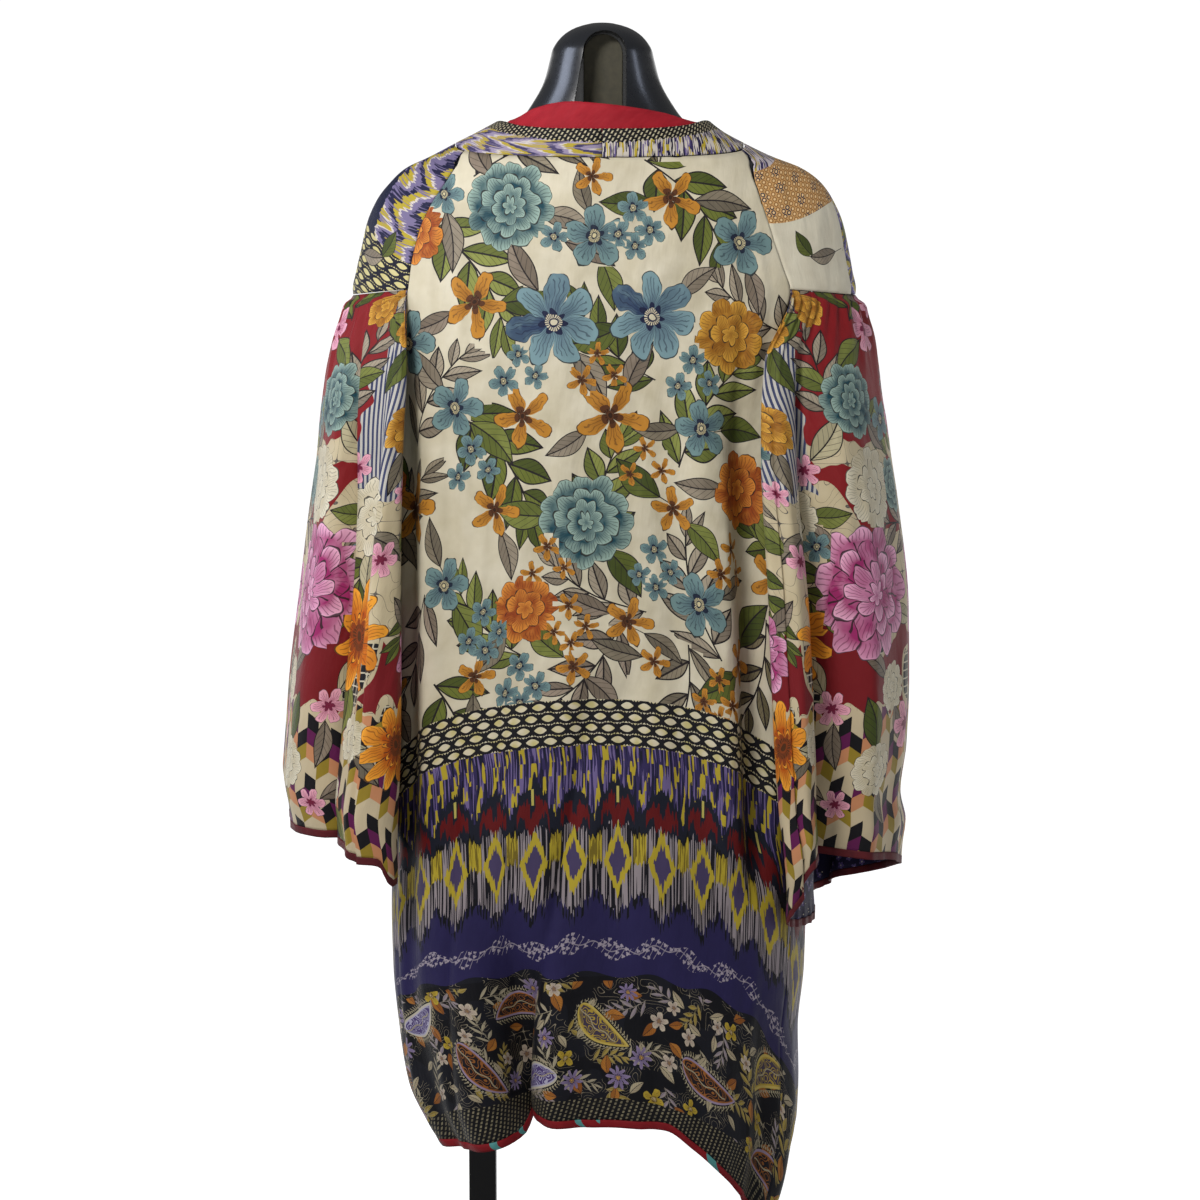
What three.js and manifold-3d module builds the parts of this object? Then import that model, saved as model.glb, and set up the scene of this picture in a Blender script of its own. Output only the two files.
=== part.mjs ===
// Kimono cardigan on a limbless dress form with a pole stand. Millimetres, +Z up.
// The origin is the centre of the base plate's underside. +X is the wearer's right, +Y the wearer's front.
//
// All of the cloth lies on one draped surface around the form. A point of it has an angle, 0 at the
// centre of the back, positive towards the wearer's right and 180 at the front, and a height. Each cut
// piece is a patch of that surface with a wall of its own, parted from its neighbours at the seams.
import * as THREE from "three";
import { mergeVertices } from "three/addons/utils/BufferGeometryUtils.js";
import Module from "manifold-3d";

// ---------------------------------------------------------------- driving dimensions
const CLOTH = 1.5; // wall of the cloth, two layers of silk and a little air
const SEAM = 0.35; // half of the gap between two pieces at a seam
const LIFT = 5; // how far a sleeve's inner wall hangs off the body below its seam
const BINDING = 6; // height of the red binding at the hems
const YOKE_FOOT = 960; // height of the dropped shoulder seam
const UNDERARM = 750; // height of the underarm point
const NECK_SEAM = 1070; // height of the neckband's seam at the centre of the back
const FRONT_SEAM = 1005; // height where the yoke's front seam meets the front band
const COLLAR_REACH = 62; // angle at which the facing dives under the neckband
const FACING_GAP = 0.7; // how far the facing stands inside the neckband
const HEAD_DIP = 5; // how much the dropped shoulder seam dips in its middle
const YOKE_COLUMNS = 14;

const BASE = { wide: 380, deep: 300, tall: 8, corner: 30 };
const POLE = { x: -108, y: 12, side: 24 };
const FORM_FOOT = 540; // height of the form's flat underside
const SLOT = { topWidth: 41, footWidth: 54, top: 1178, foot: 1092, depth: 34 };

const degrees = (angle) => (angle * Math.PI) / 180;
const mix = (a, b, share) => a + (b - a) * share;
const clamp = (value) => Math.min(1, Math.max(0, value));
const ease = (value) => clamp(value) ** 2 * (3 - 2 * clamp(value));

// A value read from a table whose rows rise in the column "key", by a monotone cubic curve.
function read(table, key, value, column) {
  const last = table.length - 1;
  if (value <= table[0][key]) return table[0][column];
  if (value >= table[last][key]) return table[last][column];
  let i = 0;
  while (value > table[i + 1][key]) i += 1;
  const slope = (j) =>
    (table[j + 1][column] - table[j][column]) / (table[j + 1][key] - table[j][key]);
  const tangent = (j) => {
    if (j === 0 || j === last) return 0;
    const before = slope(j - 1);
    const after = slope(j);
    return before * after <= 0 ? 0 : (2 * before * after) / (before + after);
  };
  const span = table[i + 1][key] - table[i][key];
  const t = (value - table[i][key]) / span;
  const rise = table[i][column] * (1 + 2 * t) * (1 - t) ** 2;
  const fall = table[i + 1][column] * t * t * (3 - 2 * t);
  return rise + fall + span * t * (1 - t) * (tangent(i) * (1 - t) - tangent(i + 1) * t);
}

// ---------------------------------------------------------------- the draped body
// Half widths and depths of the cloth at each height. square is how much a section fills its corners.
const BODY = [
  { z: 130, left: 128, right: 146, back: 103, front: 106, square: 0.05 },
  { z: 160, left: 134, right: 161, back: 108, front: 112, square: 0.05 },
  { z: 188, left: 140, right: 168, back: 112, front: 116, square: 0.05 },
  { z: 208, left: 147, right: 171, back: 115, front: 118, square: 0.05 },
  { z: 230, left: 160, right: 175, back: 118, front: 120, square: 0.05 },
  { z: 262, left: 174, right: 176, back: 120, front: 122, square: 0.05 },
  { z: 308, left: 181, right: 175, back: 121, front: 123, square: 0.05 },
  { z: 364, left: 186, right: 180, back: 121, front: 123, square: 0.05 },
  { z: 415, left: 187, right: 181, back: 120, front: 122, square: 0.05 },
  { z: 500, left: 184, right: 181, back: 118, front: 120, square: 0.05 },
  { z: 600, left: 183, right: 181, back: 116, front: 118, square: 0.05 },
  { z: 700, left: 183, right: 181, back: 113, front: 118, square: 0.05 },
  { z: 800, left: 185, right: 183, back: 112, front: 122, square: 0.04 },
  { z: 860, left: 192, right: 190, back: 112, front: 124, square: 0.03 },
  { z: 900, left: 200, right: 200, back: 111, front: 122, square: 0.02 },
  { z: 930, left: 208, right: 210, back: 109, front: 118, square: 0.01 },
  { z: 960, left: 216, right: 220, back: 106, front: 112, square: 0 },
  { z: 975, left: 213, right: 217, back: 103, front: 108, square: 0 },
  { z: 996, left: 208, right: 213, back: 99, front: 101, square: 0 },
  { z: 1017, left: 203, right: 208, back: 94, front: 92, square: 0 },
  { z: 1037, left: 194, right: 199, back: 88, front: 83, square: 0 },
  { z: 1051, left: 183, right: 189, back: 83, front: 76, square: 0 },
  { z: 1063, left: 170, right: 173, back: 78, front: 70, square: 0 },
  { z: 1074, left: 147, right: 145, back: 74, front: 66, square: 0 },
  { z: 1086, left: 124, right: 120, back: 71, front: 64, square: 0 },
  { z: 1096, left: 104, right: 102, back: 68, front: 62, square: 0 },
  { z: 1108, left: 84, right: 88, back: 65, front: 60, square: 0 },
  { z: 1122, left: 76, right: 78, back: 63, front: 58, square: 0 },
];

// Long soft folds: the angle at the fold's top and its drift for each 100 mm down, half its width in
// degrees, the heights where it starts, is full, fades and ends, how far it stands out, and how far
// its two sides lean over it.
const FOLDS = [
  { at: -58, drift: 0, half: 9, from: 955, full: 860, fade: 300, end: 200, out: -5, lean: 0 },
  { at: -44, drift: -1, half: 10, from: 940, full: 800, fade: 560, end: 420, out: 4, lean: 0 },
  { at: 21, drift: 2.1, half: 8, from: 960, full: 820, fade: 520, end: 430, out: 8, lean: 0 },
  { at: 35, drift: 1.4, half: 9, from: 950, full: 700, fade: 520, end: 420, out: -17, lean: 0 },
  { at: 2, drift: 0, half: 9, from: 640, full: 520, fade: 200, end: 100, out: -4, lean: 0 },
  { at: -12, drift: 0, half: 7, from: 520, full: 400, fade: 200, end: 100, out: 6, lean: 0 },
  { at: -20.5, drift: 0, half: 10, from: 470, full: 290, fade: 200, end: 100, out: -36, lean: 4 },
  { at: -33, drift: 0, half: 11, from: 450, full: 300, fade: 200, end: 100, out: 9, lean: 0 },
  { at: -52, drift: 0, half: 9, from: 360, full: 250, fade: 150, end: 100, out: -8, lean: 0 },
  { at: 30, drift: 0, half: 11, from: 400, full: 280, fade: 150, end: 100, out: 6, lean: 0 },
  { at: 48, drift: 0, half: 9, from: 360, full: 240, fade: 150, end: 100, out: -9, lean: 0 },
  { at: 64, drift: 0, half: 9, from: 340, full: 240, fade: 150, end: 100, out: 5, lean: 0 },
  { at: 100, drift: 0, half: 12, from: 640, full: 420, fade: 150, end: 100, out: -9, lean: 0 },
  { at: 122, drift: 0, half: 12, from: 700, full: 420, fade: 150, end: 100, out: 5, lean: 0 },
  { at: 140, drift: 0, half: 9, from: 860, full: 520, fade: 150, end: 100, out: -12, lean: 0 },
  { at: -104, drift: 0, half: 12, from: 640, full: 420, fade: 150, end: 100, out: -8, lean: 0 },
  { at: -126, drift: 0, half: 12, from: 700, full: 420, fade: 150, end: 100, out: 5, lean: 0 },
  { at: -143, drift: 0, half: 9, from: 860, full: 520, fade: 150, end: 100, out: -12, lean: 0 },
];

// Height of the hem's lowest edge at each angle.
const HEM = [
  { angle: -180, z: 196 },
  { angle: -150, z: 196 },
  { angle: -110, z: 200 },
  { angle: -75, z: 208 },
  { angle: -45, z: 219 },
  { angle: -32, z: 224 },
  { angle: -25, z: 231 },
  { angle: -20.5, z: 251 },
  { angle: -16, z: 248 },
  { angle: 0, z: 246.5 },
  { angle: 14.5, z: 244 },
  { angle: 22.5, z: 225 },
  { angle: 33, z: 196 },
  { angle: 44, z: 168 },
  { angle: 58, z: 147 },
  { angle: 72, z: 137 },
  { angle: 90, z: 137 },
  { angle: 115, z: 160 },
  { angle: 145, z: 188 },
  { angle: 180, z: 194 },
];
const hemHeight = (angle) => read(HEM, "angle", angle, "z");

// The cloth's outer surface. out moves a point off it, along the section's normal.
function drape(angle, z, out = 0) {
  const turn = degrees(angle);
  const side = Math.sin(turn);
  const rear = Math.cos(turn);
  const square = read(BODY, "z", z, "square");
  const half = read(BODY, "z", z, angle < 0 ? "left" : "right");
  const depth = read(BODY, "z", z, Math.abs(angle) < 90 ? "back" : "front");
  const x = (half * (side + square * Math.sin(3 * turn))) / (1 - square);
  const y = (-depth * (rear - square * Math.cos(3 * turn))) / (1 - square);
  const normal = new THREE.Vector2(side * depth, -rear * half).normalize();
  let raised = out;
  let slid = 0;
  for (const fold of FOLDS) {
    const centre = fold.at + (fold.drift * (fold.from - z)) / 100;
    const off = (angle - centre) / fold.half;
    if (Math.abs(off) >= 1) continue;
    const down = ease((fold.from - z) / (fold.from - fold.full));
    const share = down * ease((z - fold.end) / (fold.fade - fold.end));
    raised += (fold.out * share * (1 + Math.cos(Math.PI * off))) / 2;
    slid -= fold.lean * share * Math.sin(Math.PI * off);
  }
  return new THREE.Vector3(x + normal.x * raised - normal.y * slid, y + normal.y * raised + normal.x * slid, z);
}

// ---------------------------------------------------------------- walls
// A point of a surface, moved inwards along its normal.
function inset(surface, u, v, depth) {
  const step = 0.02;
  const along = surface(u + step, v).sub(surface(u - step, v));
  const down = surface(u, v - step).sub(surface(u, v + step));
  return surface(u, v).addScaledVector(along.cross(down).normalize(), depth);
}

// A closed wall under a grid of points, rows of columns. It is as thick as the cloth, inwards.
function wall(grid, surface, closed = false) {
  const rows = grid.length;
  const columns = grid[0].length;
  const outer = grid.map((row) => row.map((place) => surface(...place)));
  const inner = grid.map((row) => row.map(([u, v]) => inset(surface, u, v, CLOTH)));
  const points = [...outer.flat(), ...inner.flat()];
  const under = rows * columns;
  const place = (row, column) => row * columns + (column % columns);
  const faces = [];
  const quad = (a, b, c, d) => faces.push(a, b, c, a, c, d);
  const lastColumn = closed ? columns : columns - 1;
  for (let row = 0; row < rows - 1; row += 1) {
    for (let column = 0; column < lastColumn; column += 1) {
      const [a, b] = [place(row, column), place(row + 1, column)];
      const [c, d] = [place(row + 1, column + 1), place(row, column + 1)];
      quad(a, b, c, d);
      quad(under + a, under + d, under + c, under + b);
    }
  }
  // Rims: two rims that meet at a seam are split along the same diagonals.
  for (let column = 0; column < lastColumn; column += 1) {
    const [a, b] = [place(0, column), place(0, column + 1)];
    quad(b, under + b, under + a, a);
    const [c, d] = [place(rows - 1, column), place(rows - 1, column + 1)];
    quad(d, c, under + c, under + d);
  }
  for (let row = 0; row < rows - 1 && !closed; row += 1) {
    const [a, b] = [place(row, 0), place(row + 1, 0)];
    quad(b, a, under + a, under + b);
    const [c, d] = [place(row, columns - 1), place(row + 1, columns - 1)];
    quad(d, under + d, under + c, c);
  }
  const geometry = new THREE.BufferGeometry().setFromPoints(points);
  geometry.setIndex(faces);
  geometry.computeVertexNormals();
  return geometry;
}

// Shares from 0 to 1 for count steps.
const shares = (count) => Array.from({ length: count + 1 }, (_, i) => i / count);

// Angles between two limits, closer together where a deep fold needs more points.
function spread(from, to, coarse) {
  const angles = [from];
  const closeFold = (angle) =>
    FOLDS.some((f) => Math.abs(f.out) > 15 && f.lean > 0 && Math.abs(angle - f.at) < f.half + 1);
  while (angles.at(-1) < to - coarse * 0.3) {
    const angle = angles.at(-1);
    angles.push(angle + (closeFold(angle) ? 2.6 : coarse));
  }
  angles[angles.length - 1] = to;
  return angles;
}

// ---------------------------------------------------------------- seams
// Angle of the yoke's back seam at each height, on each side.
const YOKE_BACK = [
  { z: 960, left: -49.2, right: 45.9 },
  { z: 983, left: -49.6, right: 44.3 },
  { z: 1008, left: -48.8, right: 42.5 },
  { z: 1031, left: -47, right: 41.8 },
  { z: 1051, left: -45.8, right: 42.6 },
  { z: 1063, left: -46.4, right: 46 },
  { z: 1079, left: -56, right: 60 },
];
// Angle of the side seams at each height below the underarm.
const SIDE_SEAM = [
  { z: 100, left: -105, right: 56 },
  { z: 350, left: -105, right: 56 },
  { z: 600, left: -96, right: 78 },
  { z: 750, left: -90, right: 84 },
];
// Distance of the front bands' inner edges from the centre of the front at each height.
const FRONT_EDGE = [
  { z: 130, x: 64 },
  { z: 300, x: 58 },
  { z: 500, x: 52 },
  { z: 700, x: 52 },
  { z: 900, x: 62 },
  { z: 1000, x: 74 },
  { z: 1050, x: 82 },
  { z: 1080, x: 92 },
];
const BAND_WIDTH = 38;

// Middle angle and reach of each sleeve's wrap around the body at each height.
const SLEEVE_WRAP = {
  left: [
    { z: 420, middle: -90, reach: 41 },
    { z: 600, middle: -90, reach: 42.5 },
    { z: 800, middle: -90, reach: 40.5 },
    { z: 900, middle: -90, reach: 42.5 },
    { z: 960, middle: -90, reach: 40.8 },
  ],
  right: [
    { z: 400, middle: 80, reach: 36 },
    { z: 600, middle: 80, reach: 42 },
    { z: 850, middle: 81, reach: 45 },
    { z: 900, middle: 82, reach: 45 },
    { z: 960, middle: 84, reach: 38.1 },
  ],
};
const sign = { left: -1, right: 1 };

// The armhole is sewn along a line from the yoke's corner down to the underarm. rear is 1 for the
// back half of it and -1 for the front half.
function armholeAngle(side, z, rear) {
  const share = Math.sqrt(clamp((z - UNDERARM) / (YOKE_FOOT - UNDERARM)));
  const middle = read(SLEEVE_WRAP[side], "z", z, "middle");
  const reach = read(SLEEVE_WRAP[side], "z", z, "reach");
  return middle - sign[side] * rear * reach * share;
}

// Angle of a piece's outer edge: yoke seam, then armhole, then side seam.
function outerEdge(side, z, rear) {
  if (z >= YOKE_FOOT) return read(YOKE_BACK, "z", z, side);
  if (z >= UNDERARM) return armholeAngle(side, z, rear);
  return read(SIDE_SEAM, "z", z, side);
}

// Angle at which the front surface is x away from the centre of the front.
function frontAngle(side, x, z) {
  let low = 0;
  let high = 90;
  for (let i = 0; i < 30; i += 1) {
    const middle = (low + high) / 2;
    const turn = degrees(middle);
    const square = read(BODY, "z", z, "square");
    const half = read(BODY, "z", z, side);
    const reached = (half * (Math.sin(turn) + square * Math.sin(3 * turn))) / (1 - square);
    if (reached < x) low = middle;
    else high = middle;
  }
  return sign[side] * (180 - low);
}
const bandInner = (side, z) => frontAngle(side, read(FRONT_EDGE, "z", z, "x"), z);
const bandOuter = (side, z) =>
  frontAngle(side, read(FRONT_EDGE, "z", z, "x") + BAND_WIDTH, z);

const ROUND = 150; // mean radius of the body, which turns a gap into an angle
const gapAngle = (gap) => ((gap / ROUND) * 180) / Math.PI;

// ---------------------------------------------------------------- cut pieces
const BACK_COLUMNS = 7; // degrees between two columns
const STRAIGHT = 30; // columns of the back nearer its centre than this angle run straight down
const YOKE_ROWS = [1077.5, 1071, 1064, 1056, 1047, 1037, 1026, 1015, FRONT_SEAM, 982, YOKE_FOOT];
const ARMHOLE_ROWS = [935, 900, 860, 818, 780, 758, UNDERARM];
const SKIRT_ROWS = [0.09, 0.18, 0.28, 0.38, 0.48, 0.58, 0.68, 0.77, 0.85, 0.93, 1];
const topOfBinding = (angle) => hemHeight(angle) + BINDING + SEAM;

// Heights of a panel's rows at its side, below the dropped shoulder seam.
function sideRows(side) {
  const foot = topOfBinding(outerEdge(side, 200, 1));
  return [...ARMHOLE_ROWS, ...SKIRT_ROWS.map((share) => mix(UNDERARM, foot, share))];
}

// The back: one piece from the neckband and the two yokes down to the hem.
function backPanel() {
  const gap = gapAngle(SEAM);
  const left = [...YOKE_ROWS, ...sideRows("left")];
  const right = [...YOKE_ROWS, ...sideRows("right")];
  const down = (rows, i) => (rows[0] - rows[i]) / (rows[0] - rows.at(-1));
  const hem = [outerEdge("left", left.at(-1), 1) + gap, outerEdge("right", right.at(-1), 1) - gap];
  return left.map((_, i) => {
    const edges = [outerEdge("left", left[i], 1) + gap, outerEdge("right", right[i], 1) - gap];
    return spread(...hem, BACK_COLUMNS).map((column) => {
      const way = column < 0 ? 0 : 1;
      const still = way ? STRAIGHT : -STRAIGHT;
      const drawn = (column - still) / (hem[way] - still);
      const angle = drawn < 0 ? column : mix(still, edges[way], drawn);
      const share = (angle - edges[0]) / (edges[1] - edges[0]);
      const top = mix(NECK_SEAM, YOKE_ROWS[0], (2 * share - 1) ** 2) - SEAM;
      return [angle, mix(top, topOfBinding(angle), mix(down(left, i), down(right, i), share))];
    });
  });
}

// A front: from the yoke's front seam to the hem, between the band and the armhole and side seam.
function frontPanel(side) {
  const gap = gapAngle(SEAM) * sign[side];
  const steps = side === "left" ? 8 : 14;
  const heights = [YOKE_FOOT, ...sideRows(side)];
  return heights.map((sideZ) => {
    const down = (heights[0] - sideZ) / (heights[0] - heights.at(-1));
    const bandZ = mix(FRONT_SEAM, topOfBinding(bandOuter(side, 200)), down);
    const from = bandOuter(side, bandZ) - gap;
    const to = outerEdge(side, Math.min(sideZ, YOKE_FOOT - 0.01), -1) + gap;
    const row = shares(steps).map((share) => {
      const angle = mix(from, to, share);
      const top = mix(FRONT_SEAM, YOKE_FOOT, share) - SEAM;
      return [angle, mix(top, topOfBinding(angle), down)];
    });
    return side === "left" ? row : row.reverse();
  });
}

// A yoke: over the shoulder, from the back seam to the front seam and the front band.
function yoke(side) {
  const gap = gapAngle(SEAM) * 2 * sign[side];
  const corner = armholeAngle(side, YOKE_FOOT, -1);
  const seamEnd = bandOuter(side, FRONT_SEAM);
  return YOKE_ROWS.map((height) => {
    const down = (YOKE_ROWS[0] - height) / (YOKE_ROWS[0] - YOKE_FOOT);
    const from = outerEdge(side, height, 1) + gap;
    const seam = mix(corner, seamEnd, (height - YOKE_FOOT) / (FRONT_SEAM - YOKE_FOOT));
    const to = (height >= FRONT_SEAM ? bandOuter(side, height) : seam) - gap;
    const row = shares(YOKE_COLUMNS).map((share) => {
      const angle = mix(from, to, share);
      const top = read(NECKBAND, "angle", Math.abs(angle), "outer") - SEAM;
      const foot = YOKE_FOOT + SEAM - HEAD_DIP * Math.sin(Math.PI * share);
      return [angle, height + (top - YOKE_ROWS[0]) * (1 - down) ** 2 + (foot - YOKE_FOOT) * down];
    });
    return side === "right" ? row : row.reverse();
  });
}

// The neckband's inner and outer edge, from the centre of the back over the shoulder.
const NECKBAND = [
  { angle: 0, inner: 1094, outer: NECK_SEAM },
  { angle: 20, inner: 1094.5, outer: 1071 },
  { angle: 40, inner: 1097, outer: 1073.5 },
  { angle: 58, inner: 1101, outer: 1077.5 },
  { angle: 75, inner: 1105, outer: 1083 },
  { angle: 88, inner: 1106, outer: 1085 },
  { angle: 102, inner: 1102, outer: 1083 },
  { angle: 118, inner: 1094, outer: 1077.5 },
];
const BAND_ROWS = [975, 935, 880, 820, 750, 670, 590, 510, 430, 350, 285, 240];

// A neckband half: round the neck and down the front edge to the hem.
function band(side) {
  const way = sign[side];
  const gap = gapAngle(SEAM) * way;
  const turnsAt = Math.abs(outerEdge(side, YOKE_ROWS[0], 1));
  const endsAt = Math.abs(bandOuter(side, YOKE_ROWS[0]));
  const across = [0, 1 / 3, 2 / 3, 1];
  const neck = [
    ...shares(8).slice(0, -1).map((share) => mix(0.1, turnsAt, share)),
    ...shares(YOKE_COLUMNS).map((share) => mix(turnsAt, endsAt, share)),
  ].map((angle) => {
    const turned = clamp((angle - turnsAt) / (endsAt - turnsAt)) ** 2;
    const innerAngle = mix(angle, Math.abs(bandInner(side, YOKE_ROWS[0])), turned);
    const inner = mix(read(NECKBAND, "angle", angle, "inner"), YOKE_ROWS[0] + 9, turned);
    const outer = read(NECKBAND, "angle", angle, "outer") + SEAM;
    return across.map((share) => [way * mix(innerAngle, angle, share), mix(inner, outer, share)]);
  });
  const front = [...YOKE_ROWS.slice(1, -2), ...BAND_ROWS].map((height) => {
    const [inner, outer] = [bandInner(side, height), bandOuter(side, height) + gap];
    const slant = 9 * ease((height - 1000) / 78);
    return across.map((share) => [mix(inner, outer, share), height + slant * (1 - share)]);
  });
  const footZ = topOfBinding(bandOuter(side, 200));
  const foot = across
    .map((share) => mix(bandInner(side, footZ), bandOuter(side, footZ) + gap, share))
    .map((angle) => [angle, topOfBinding(angle)]);
  const rows = [...neck, ...front, foot];
  return side === "right" ? rows.map((row) => row.reverse()) : rows;
}

// The facing: it stands above the neckband round the back of the neck, as a soft roll.
const FACING_TOP = [
  { angle: -62, z: 1103 },
  { angle: -48, z: 1112 },
  { angle: -22, z: 1117 },
  { angle: 0, z: 1115 },
  { angle: 35, z: 1108.5 },
  { angle: 62, z: 1101 },
];
function facing() {
  const levels = [1, 0.66, 0.33, 0];
  return levels.map((level) =>
    shares(18).map((share) => {
      const angle = mix(-COLLAR_REACH, COLLAR_REACH, share);
      return [angle, mix(1086, read(FACING_TOP, "angle", angle, "z"), level)];
    }),
  );
}
function facingSurface(angle, z) {
  const point = inset(drape, angle, z, CLOTH + FACING_GAP);
  const roll = 2.4 * ease((point.z - 1097) / 14) * Math.cos(degrees(angle));
  return point.add(new THREE.Vector3(0, -roll, 0));
}

// The red binding along the whole hem, from one front edge round the back to the other.
function hemBinding() {
  const panels = [band("left"), frontPanel("left"), backPanel(), frontPanel("right"), band("right")];
  const edge = panels.flatMap((grid) => grid.at(-1));
  return [
    edge.map(([angle, z]) => [angle, z - SEAM]),
    edge.map(([angle]) => [angle, hemHeight(angle)]),
  ];
}

// ---------------------------------------------------------------- sleeves
// How far each sleeve's outer wall stands off the body at each height.
const SLEEVE_SWELL = [
  { z: 400, left: 99, right: 80 },
  { z: 440, left: 101, right: 84 },
  { z: 495, left: 101, right: 80 },
  { z: 520, left: 99, right: 75 },
  { z: 563, left: 95, right: 80 },
  { z: 617, left: 90, right: 82 },
  { z: 688, left: 80, right: 81 },
  { z: 776, left: 67, right: 70 },
  { z: 838, left: 55, right: 57 },
  { z: 881, left: 41, right: 42 },
  { z: 920, left: 22, right: 24 },
  { z: 945, left: 8, right: 9 },
  { z: 960, left: 0, right: 0 },
];
// Height of each sleeve's lowest edge round the cuff. 0 is the outer side and 90 the back.
const CUFF = [
  { turn: -180, left: 484, right: 408 },
  { turn: -90, left: 472, right: 412 },
  { turn: -45, left: 482, right: 436 },
  { turn: 0, left: 495, right: 459 },
  { turn: 45, left: 489, right: 464 },
  { turn: 68, left: 480, right: 466 },
  { turn: 92, left: 458, right: 436 },
  { turn: 125, left: 461, right: 422 },
  { turn: 155, left: 480, right: 414 },
  { turn: 180, left: 484, right: 408 },
];
// Long folds of the sleeves, by the turn round the sleeve.
const SLEEVE_FOLDS = {
  left: [
    { top: 56, low: 36, half: 19, out: -24 },
    { top: 12, low: 6, half: 20, out: -5 },
    { top: -58, low: -50, half: 22, out: -20 },
    { top: -20, low: -16, half: 18, out: 4 },
  ],
  right: [
    { top: 48, low: 43, half: 19, out: -27 },
    { top: 10, low: 14, half: 18, out: -4 },
    { top: -60, low: -52, half: 22, out: -20 },
    { top: -22, low: -16, half: 18, out: 5 },
  ],
};
const GATHERS = 12; // small pleats along the dropped shoulder seam of each sleeve
const GATHER_DEPTH = 2.2;
const SLEEVE_HEAD = (turn) =>
  Math.abs(turn) <= 90
    ? YOKE_FOOT - SEAM - HEAD_DIP * Math.cos((Math.PI / 2) * Math.sin(degrees(turn)))
    : UNDERARM + (YOKE_FOOT - UNDERARM - SEAM) * Math.sin(degrees(turn)) ** 2;

// A sleeve's outer surface, by the turn round it and the height.
function sleeveSurface(side, turn, z) {
  const wrapped = ((((turn + 180) % 360) + 360) % 360) - 180;
  const round = degrees(wrapped);
  const table = SLEEVE_WRAP[side];
  const middle = read(table, "z", z, "middle");
  const reach = read(table, "z", z, "reach");
  const swell = read(SLEEVE_SWELL, "z", z, side);
  const fill = ((1 + Math.cos(round)) / 2) ** 1.3;
  const below = SLEEVE_HEAD(wrapped) - z;
  const drawn = 1 - 0.1 * ease((45 - (z - read(CUFF, "turn", wrapped, side))) / 45);
  let out = 0.9 * ease((Math.abs(wrapped) - 88) / 14) + LIFT * ease(below / 50);
  out += swell * fill * drawn * ease(below / 12 + 0.25);
  for (const fold of SLEEVE_FOLDS[side]) {
    const off = (wrapped - mix(fold.top, fold.low, clamp(below / 480))) / fold.half;
    if (Math.abs(off) >= 1) continue;
    out += (fold.out * ease(below / 190) * (1 + Math.cos(Math.PI * off))) / 2;
  }
  if (Math.abs(wrapped) < 90) {
    const wave = (Math.cos((wrapped / 90) * Math.PI * GATHERS) - 1) / 2;
    out -= GATHER_DEPTH * wave * ease(below / 8) * ease((75 - below) / 75);
  }
  const angle = middle - sign[side] * (reach - 0.4) * Math.sin(round);
  return bareDrape(angle, z, out);
}

// The draped surface without its folds, which the sleeves hang against.
function bareDrape(angle, z, out) {
  const turn = degrees(angle);
  const side = Math.sin(turn);
  const rear = Math.cos(turn);
  const square = read(BODY, "z", z, "square");
  const half = read(BODY, "z", z, angle < 0 ? "left" : "right");
  const depth = read(BODY, "z", z, Math.abs(angle) < 90 ? "back" : "front");
  const x = (half * (side + square * Math.sin(3 * turn))) / (1 - square);
  const y = (-depth * (rear - square * Math.cos(3 * turn))) / (1 - square);
  const normal = new THREE.Vector2(side * depth, -rear * half).normalize();
  return new THREE.Vector3(x + normal.x * out, y + normal.y * out, z);
}

// Turns round a sleeve: close together over the gathers, wider apart inside.
const SLEEVE_TURNS = [
  ...shares(2 * GATHERS).map((share) => mix(-90, 90, share)),
  ...shares(13)
    .slice(1, -1)
    .map((share) => mix(90, 270, share)),
];
const SLEEVE_ROWS = [0, 0.03, 0.08, 0.15, 0.24, 0.36, 0.5, 0.64, 0.77, 0.88, 0.95, 1];

function sleeveGrid(side, cuffOnly) {
  const rows = cuffOnly ? [0, 1] : SLEEVE_ROWS;
  const grid = rows.map((down) =>
    SLEEVE_TURNS.map((turn) => {
      const wrapped = turn > 180 ? turn - 360 : turn;
      const foot = read(CUFF, "turn", wrapped, side);
      const top = cuffOnly ? foot + BINDING - SEAM : SLEEVE_HEAD(wrapped);
      return [-sign[side] * turn, mix(top, cuffOnly ? foot : foot + BINDING, down)];
    }),
  );
  return side === "left" ? grid : grid.map((row) => row.reverse());
}

// ---------------------------------------------------------------- the form and its stand
// Half widths and depths of the limbless form at each height.
const FORM = [
  { z: 540, wide: 150, back: 90, front: 92 },
  { z: 620, wide: 158, back: 96, front: 96 },
  { z: 700, wide: 140, back: 88, front: 88 },
  { z: 780, wide: 124, back: 82, front: 84 },
  { z: 860, wide: 142, back: 92, front: 104 },
  { z: 920, wide: 160, back: 99, front: 110 },
  { z: 980, wide: 178, back: 96, front: 98 },
  { z: 1015, wide: 187, back: 88, front: 86 },
  { z: 1035, wide: 188, back: 82, front: 78 },
];
const NECK = [
  { z: 1082, wide: 110, deep: 61 },
  { z: 1090, wide: 92, deep: 58 },
  { z: 1102, wide: 73, deep: 54 },
  { z: 1117, wide: 61, deep: 51 },
  { z: 1137, wide: 50, deep: 48 },
  { z: 1155, wide: 44, deep: 44 },
  { z: 1170, wide: 38, deep: 38 },
  { z: 1180, wide: 28, deep: 28 },
  { z: 1186, wide: 14, deep: 14 },
];
const FORM_RINGS = [540, 580, 620, 660, 700, 740, 780, 820, 860, 890, 920, 950, 980, 1003, 1022];
const SHOULDER_RINGS = [1040, 1046, 1052, 1058, 1064, 1071, 1077];
const NECK_RINGS = [1084, 1092, 1102, 1117, 1137, 1155, 1170, 1180, 1186];
const FORM_ROUND = 36;
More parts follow.
